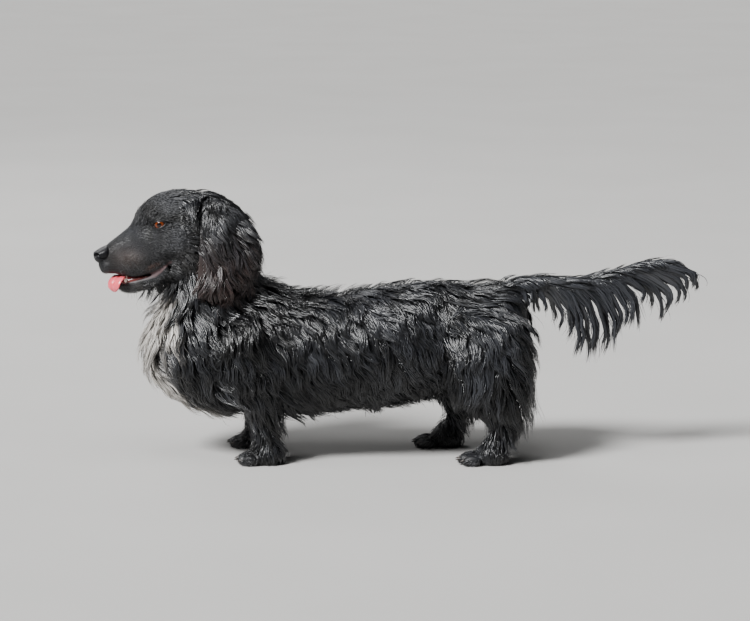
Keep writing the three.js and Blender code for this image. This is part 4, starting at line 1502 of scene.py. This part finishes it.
WAVE_LENGTH = 37.0
DROOP = np.array([0.0, 0.0, -0.55])
CLEAR = 0.7  # guide hairs stay this far out of the skin, in mm


def hung(at, normal, reach, s):
    """Paths that leave the skin, then hang by their reach. s runs from 0 at the root to 1 at the tip."""
    sway = np.stack([s**2, s * (3.1 - 2.1 * s), s**1.3], axis=-1)
    return at[:, None] + normal[:, None] * (5 * np.sin(s * np.pi / 2)[..., None]) + reach[:, None] * sway


def march(hide, at, normal, hair, rng, rings):
    """Paths of guide hairs: each follows the lie of the coat over the skin, rises from it and droops."""
    n = len(at)
    step = (hair["length"] / rings)[:, None]
    cling = hair["cling"][:, None]
    tall = hair["lift"][:, None] * rng.uniform(0.5, 1.15, (n, 1))
    swirl = 0.42 * ripple(at, 75, 11) + 0.16 * ripple(at, 26, 12) + rng.normal(0, 0.06, n)
    swirl = swirl[:, None]
    p, out = at.copy(), normal
    path, ups = [p], [normal]
    for k in range(1, rings + 1):
        s = k / rings
        flow = hair["flow"]
        flow = unit(flow - (flow * out).sum(axis=1, keepdims=True) * out * 0.97)
        flow = flow * np.cos(swirl) + np.cross(out, flow) * np.sin(swirl)
        on, out = hide.nearest(p + flow * step)
        held = on + out * tall * (1 - (1 - s) ** 1.7)
        off = (2.2 * tall / hair["length"][:, None]) * (1 - 0.9 * s)
        fall = unit(flow * (1.1 - 0.5 * s) + out * off + DROOP * s)
        p = held * cling + (p + fall * step) * (1 - cling)
        p = p + out * np.maximum(0, CLEAR - ((p - on) * out).sum(axis=1))[:, None]
        path.append(p)
        ups.append(out)
    path, ups = np.stack(path, axis=1), np.stack(ups, axis=1)
    s = np.linspace(0, 1, rings + 1)[None, :]
    hanging = hair["reach"][:, 3]
    if hair["reach"].any():
        path = path + (hung(at, normal, hair["reach"][:, :3], s) - path) * hanging[:, None, None]
        sideways = np.where(at[:, 0] > 0, 1.0, -1.0)[:, None] * (1.0, 0, 0) + np.array([0, 0, 0.3])
        ups = unit(ups + (sideways[:, None] - ups) * hanging[:, None, None])
    along = np.abs(path[..., 0]) * 0.25 + path[..., 1] * 0.6 - path[..., 2] * 0.8
    phase = along * 2 * np.pi / WAVE_LENGTH + 2.5 * ripple(path.reshape(-1, 3), 80, 13).reshape(along.shape)
    phase = (phase + rng.normal(0, 0.35, (n, 1)))[..., None]
    side = unit(np.cross(np.gradient(path, axis=1), ups))
    size = (hair["wave"][:, None] * s**0.75)[..., None]
    return path + size * (side * np.sin(phase) + 0.55 * ups * np.cos(phase)), ups


LOOSE_SHARE = 0.07  # how many of the strands stay out of the locks
HAIR_PROFILE = ([0, 0.3, 0.7, 1], [0.75, 1.0, 0.8, 0.3])  # along a strand, and its share of the full width
ROOT_DEPTH = 0.5  # how far a root starts under the skin, in mm
FLOOR_GAP = 0.5  # no strand comes nearer to the floor
SKIN_GAP = 0.6  # nor nearer to the skin, past its root


def locks(at, normal, share, hanging, rng):
    """Picks the roots that get a guide hair, one for each lock, and says which guide each root follows."""
    n = len(at)
    count = max(1, n // share)
    chosen = rng.permutation(n)[:count]
    if share == 1:
        return chosen, np.argsort(chosen)
    if not hanging:
        tree = tree_of(at[chosen] + normal[chosen] * 8)
        return chosen, np.array([tree.find(p)[1] for p in at + normal * 8])
    # Side by side in a row along the tail; grow picks their guides once the guides have been drawn.
    return np.argsort(at[:, 1])[share // 2 :: share][:count], None


def grow(hide, roots, hair, marks, rng, kind, width_scale):
    """A bundle of strands of one kind that gather into locks round guide hairs."""
    at, normal, uv = roots
    _, rings, share, gather, width = kind
    hanging = kind is STRAND_KINDS[-1]
    n = len(at)
    chosen, owner = locks(at, normal, share, hanging, rng)
    if hanging:
        hair["reach"][chosen, 1:3] *= rng.uniform(0.88, 1.1, (len(chosen), 1))
        hair["reach"][chosen, 3] = 1.0
    own = {key: value[chosen] for key, value in hair.items()}
    guides, ups = march(hide, at[chosen], normal[chosen], own, rng, rings)
    if hanging:
        place = np.argsort(np.argsort(at[:, 1] + rng.normal(0, 0.8, n)))
        owner = np.minimum(place // share, len(chosen) - 1)
    s = np.linspace(0, 1, rings + 1)[None, :] * rng.uniform(0.7, 1.0, (n, 1))
    x = np.minimum(s * rings, rings - 1e-6)
    i, f = x.astype(int), (x - x.astype(int))[..., None]
    rows = np.arange(n)[:, None]
    line, up = guides[owner], ups[owner]
    path = line[rows, i] * (1 - f) + line[rows, i + 1] * f
    up = up[rows, i] * (1 - f) + up[rows, i + 1] * f
    loose = rng.random(n) < LOOSE_SHARE
    pull = np.where(loose, -0.5, gather * rng.uniform(0.75, 1.1, n))[:, None]
    pull = pull * (np.minimum(1, 1.3 * s) if hanging else smooth(0, 1, s))
    up = unit(up + rng.normal(0, 0.32 if hanging else 0.09, (n, 1, 3)))
    path = path + (at - guides[owner, 0])[:, None] * (1 - pull)[..., None]
    stray = rng.normal(0, 1, (n, 1, 3)) * np.where(loose, 0.09, 0.022)[:, None, None]
    path = path + stray * hair["length"][:, None, None] * (s**1.5)[..., None]
    if share > 1:
        on, out = (a.reshape(n, rings, 3) for a in hide.nearest(path[:, 1:].reshape(-1, 3)))
        high = ((path[:, 1:] - on) * out).sum(axis=-1, keepdims=True)
        path[:, 1:] += out * np.maximum(0, SKIN_GAP - high)
        if not hanging:
            up[:, 1:] = unit(up[:, 1:] + out)
    path[:, 0] -= normal * ROOT_DEPTH
    path[..., 2] = np.maximum(path[..., 2], FLOOR_GAP)
    thick = width * width_scale * rng.uniform(0.65, 1.25, n) * np.where(loose, 0.5, 1.0)
    profile = np.interp(np.arange(rings) / rings, *HAIR_PROFILE)
    # The marks' lightness holds the coat's painted highlights and painted shade; each strand adds a little at
    # random.
    white, rust, _, tone_and_painted_light = marks
    tone_and_painted_light = np.clip(tone_and_painted_light + rng.normal(0, 0.12, n), 0, 1)
    white = white * np.where(rng.random(n) < 0.75, 1.0, 0.85)
    rust = rust * rng.uniform(0.5, 1.1, n)
    return {
        "paths": path, "half": 0.5 * thick[:, None] * profile[None], "up": unit(up[:, :rings]),
        "marks": np.stack([white, rust, tone_and_painted_light, np.zeros(n)], axis=1), "uv": uv,
    }


def coat_piece(at, part):
    """Which piece of the coat each root belongs to. A later row takes over from an earlier one."""
    x, y, z = at.T
    q = dog_to_head(at)
    on_head, left = part == HEAD, x > 0
    hind = y > 60 - 75 * (x < 0) * smooth(170, 60, z)
    name = np.where(left, "coat_flank_left", "coat_flank_right").astype("U24")
    for where, piece in (
        ((y < -110) & (y >= -240), ("coat_shoulder_left", "coat_shoulder_right")),
        ((np.abs(x) < 34) & (z > 195), "coat_back"),
        (z < 100, "coat_belly"),
        ((y < -240) & (z > 196), "coat_neck"),
        ((y < -240) & (z <= 196), "coat_chest"),
        ((y < -120) & (y > -262) & (z < 112) & (np.abs(x) > 24), "coat_forelegs"),
        ((y > 15) & (z < 205) & (np.abs(x) > 18) & hind, ("coat_hindleg_left", "coat_hindleg_right")),
        (z < 33, "coat_paws"),
        (on_head, "coat_crown"),
        (on_head & (q[:, 1] < -48), "coat_face"),
        (on_head & (q[:, 1] < -60) & (q[:, 2] < -44), "coat_jaw"),
        (part == EAR_LEFT, "coat_ear_left"),
        (part == EAR_RIGHT, "coat_ear_right"),
        (part == TAIL, "coat_tail"),
    ):
        name[where] = piece if isinstance(piece, str) else np.where(left, *piece)[where]
    return name


# Strands of up to so many mm have so many rings, gather so many to a lock, so tightly, and are so wide.
# The last kind hangs from the tail.
STRAND_KINDS = [
    (7.5, 2, 1, 0.0, 0.62),
    (14.0, 3, 3, 0.3, 0.95),
    (24.0, 4, 6, 0.5, 1.45),
    (38.0, 5, 8, 0.68, 1.75),
    (88.0, 6, 11, 0.76, 1.85),
    (200.0, 8, 51, 0.88, 1.7),
]
MOST_TRIANGLES = 195000  # in a piece of the coat


class DOG_OT_coat(Operator):
    """Grows the coat: tapered strands that gather into wavy locks, a piece for each region"""

    bl_idname = "dog.coat"
    bl_label = "Coat"

    def execute(self, context):
        settings = context.scene.dog_coat
        hide = Hide(bpy.data.objects["skin"])
        rng = np.random.default_rng(settings.seed)
        at, normal, uv, faces = hide.roots(hide_density(hide) * settings.fullness, rng)
        part = hide.part[faces]
        hair = hair_at(at, normal, part)
        hair["length"] *= rng.uniform(0.88, 1.12, len(at))
        names = coat_piece(at, part)
        kinds = np.searchsorted([kind[0] for kind in STRAND_KINDS[:-1]], hair["length"])
        kinds[hair["reach"][:, 3] > 0.5] = len(STRAND_KINDS) - 1
        black = hair_material("black_coat", 0.31)
        materials = {
            "coat_ear_left": hair_material("ear_coat", 0.36), "coat_face": hair_material("face_coat", 0.6)
        }
        materials["coat_ear_right"] = materials["coat_ear_left"]
        for name in sorted(set(names)):
            bundles = []
            for number, kind in enumerate(STRAND_KINDS):
                take = (names == name) & (kinds == number)
                if take.any():
                    own = {key: value[take] for key, value in hair.items()}
                    # The hair's lightness, painted highlights and painted shade in it, goes with the
                    # markings.
                    marks = (*markings(at[take], part[take]), hair_tone_and_painted_light(at[take], part[take]))
                    roots = at[take], normal[take], uv[take]
                    bundles.append(grow(hide, roots, own, marks, rng, kind, settings.strand_width))
            mesh = strand_mesh(name, bundles, materials.get(name, black)).data
            count = len(mesh.loops) - 2 * len(mesh.polygons)
            if count > MOST_TRIANGLES:
                raise RuntimeError(f"{name} has {count} triangles")
        return {"FINISHED"}


# Where whiskers grow: y and z of both ends of the bed in the head's frame, how many on each side, their
# length, the way they point (x, y, z), and the size of their curls, in mm.
WHISKER_BEDS = [
    (-132, -14, -110, -26, 12, 20, 0.8, 0.35, -0.35, 0.0),
    (-124, -62, -104, -64, 6, 14, 0.4, -0.1, -0.8, 0.0),
    (-86, 58, -78, 60, 4, 14, 0.5, -0.3, 0.7, 0.0),
    (-98, -60, -78, -54, 9, 30, 0.15, -0.25, -1.0, 4.5),
]


WHISKER_HALF = 0.24  # half width at the root


class DOG_OT_whiskers(Operator):
    """Makes the whiskers of the lips, chin and brows, and the curled hairs under the jaw"""

    bl_idname = "dog.whiskers"
    bl_label = "Whiskers"

    def execute(self, context):
        rng = np.random.default_rng(context.scene.dog_coat.seed + 1)
        tree = BVHTree.FromObject(bpy.data.objects["skin"], context.evaluated_depsgraph_get())
        bundles = []
        t = np.linspace(0, 1, 11)[:, None]
        for y0, z0, y1, z1, count, length, out, back, up, curl in WHISKER_BEDS:
            for k in range(2 * count):
                sign, share = (1, -1)[k % 2], (k // 2 + rng.random()) / count
                aim = np.array([sign * 26.0, y0 + (y1 - y0) * share, z0 + (z1 - z0) * rng.random()])
                root = np.array(tree.find_nearest(Vector(head_to_dog(aim[None])[0] * MM))[0]) / MM
                way = turned(unit(np.array([[sign * out, back, up]]) + rng.normal(0, 0.12, (1, 3))))
                reach = length * rng.uniform(0.6, 1.1)
                path = root + reach * (way * t + np.array([0, 0.12, -0.2]) * t**2)
                turn = 2 * np.pi * (1.6 * t + rng.random())
                loop = np.hstack([0.4 * np.sin(turn), np.cos(turn), np.sin(turn)])
                path = path + curl * t**0.7 * (loop - loop[0])
                half = WHISKER_HALF * (1 - 0.6 * t[:-1, 0])
                bundles.append(cord_bundle(path, half, np.array([0.3, 0.5, 0.8])))
        strand_mesh("whiskers", bundles, hair_material("whisker", 0.4))
        return {"FINISHED"}


# ---------------------------------------------------------------- the studio
LOOK_AT = Vector((0.0, -0.0322, 0.207))  # what the camera is turned to
LIT = Vector((0, -0.05, 0.2))  # what the lights are turned to
# Name, kind, place, size (an angle for the sun) and power.
LIGHTS = [
    ("key_light", "SUN", (1.5, -1.7, 2.4), math.radians(18), 8.6),
    ("top_light", "AREA", (0.4, -0.3, 2.6), 1.6, 30.0),
    ("fill_light", "AREA", (2.6, 2.4, 1.4), 2.2, 2.5),
    ("rim_light", "AREA", (-2.6, -1.6, 2.2), 1.6, 42.0),
]
FLOOR_HALF = 14.0
AIR_COLOUR = (0.94, 0.96, 1.0, 1.0)
AIR_LIGHT = 0.055  # what the air adds to the lights
AIR_SEEN = 0.5  # how much paler it is behind the floor


def aimed(direction):
    return direction.to_track_quat("-Z", "Y").to_euler()


class DOG_OT_studio(Operator):
    """Sets the pale floor, the soft lights and the camera"""

    bl_idname = "dog.studio"
    bl_label = "Studio"

    def execute(self, context):
        bm = bmesh.new()
        bmesh.ops.create_grid(bm, x_segments=8, y_segments=8, size=FLOOR_HALF)
        floor = add_object("studio_floor", to_mesh("studio_floor", bm))
        floor.data.materials.append(floor_material())
        stage = context.scene.dog_stage
        data = bpy.data.cameras.new("camera")
        data.lens, data.sensor_width, data.clip_end = stage.lens, 36.0, 60.0
        camera = add_object("camera", data)
        back = Vector((math.cos(stage.elevation), 0, math.sin(stage.elevation)))
        camera.location = LOOK_AT + back * stage.distance
        camera.rotation_euler = aimed(-back)
        context.scene.camera = camera
        for name, kind, place, size, power in LIGHTS:
            lamp = bpy.data.lights.new(name, kind)
            lamp.energy = power
            setattr(lamp, "angle" if kind == "SUN" else "size", size)
            light = add_object(name, lamp)
            light.location = place
            light.rotation_euler = aimed(LIT - Vector(place))
        world = bpy.data.worlds.new("studio_air")
        world.use_nodes = True
        tree = world.node_tree
        seen = node(tree, "ShaderNodeLightPath").outputs["Is Camera Ray"]
        air = tree.nodes["Background"].inputs
        air["Color"].default_value = AIR_COLOUR
        tree.links.new(spread(tree, seen, AIR_LIGHT, AIR_SEEN), air["Strength"])
        context.scene.world = world
        return {"FINISHED"}


# ---------------------------------------------------------------- the add-on
OPERATORS = (
    DOG_OT_skin, DOG_OT_eyes, DOG_OT_nose, DOG_OT_mouth, DOG_OT_claws, DOG_OT_coat, DOG_OT_whiskers,
    DOG_OT_studio,
)


class DOG_PT_panel(Panel):
    """Lists what builds the dog"""

    bl_idname = "DOG_PT_panel"
    bl_label = "Dog"
    bl_space_type = "VIEW_3D"
    bl_region_type = "UI"
    bl_category = "Dog"

    def draw(self, context):
        for operator in OPERATORS:
            self.layout.operator(operator.bl_idname, text=operator.bl_label)
        for group in ("dog_body", "dog_coat", "dog_face", "dog_stage"):
            settings = getattr(context.scene, group)
            for name in settings.__annotations__:
                self.layout.prop(settings, name)


GROUPS = {
    "dog_body": DogBodySettings, "dog_coat": DogCoatSettings, "dog_face": DogFaceSettings,
    "dog_stage": DogStageSettings,
}
CLASSES = (*GROUPS.values(), *OPERATORS, DOG_PT_panel)


def register():
    for cls in CLASSES:
        bpy.utils.register_class(cls)
    for name, group in GROUPS.items():
        setattr(bpy.types.Scene, name, PointerProperty(type=group))


def unregister():
    for name in GROUPS:
        delattr(bpy.types.Scene, name)
    for cls in reversed(CLASSES):
        bpy.utils.unregister_class(cls)


def main():
    register()
    bpy.ops.dog.skin()
    bpy.ops.dog.eyes()
    bpy.ops.dog.nose()
    bpy.ops.dog.mouth()
    bpy.ops.dog.claws()
    bpy.ops.dog.coat()
    bpy.ops.dog.whiskers()
    bpy.ops.dog.studio()


if __name__ == "__main__":
    main()
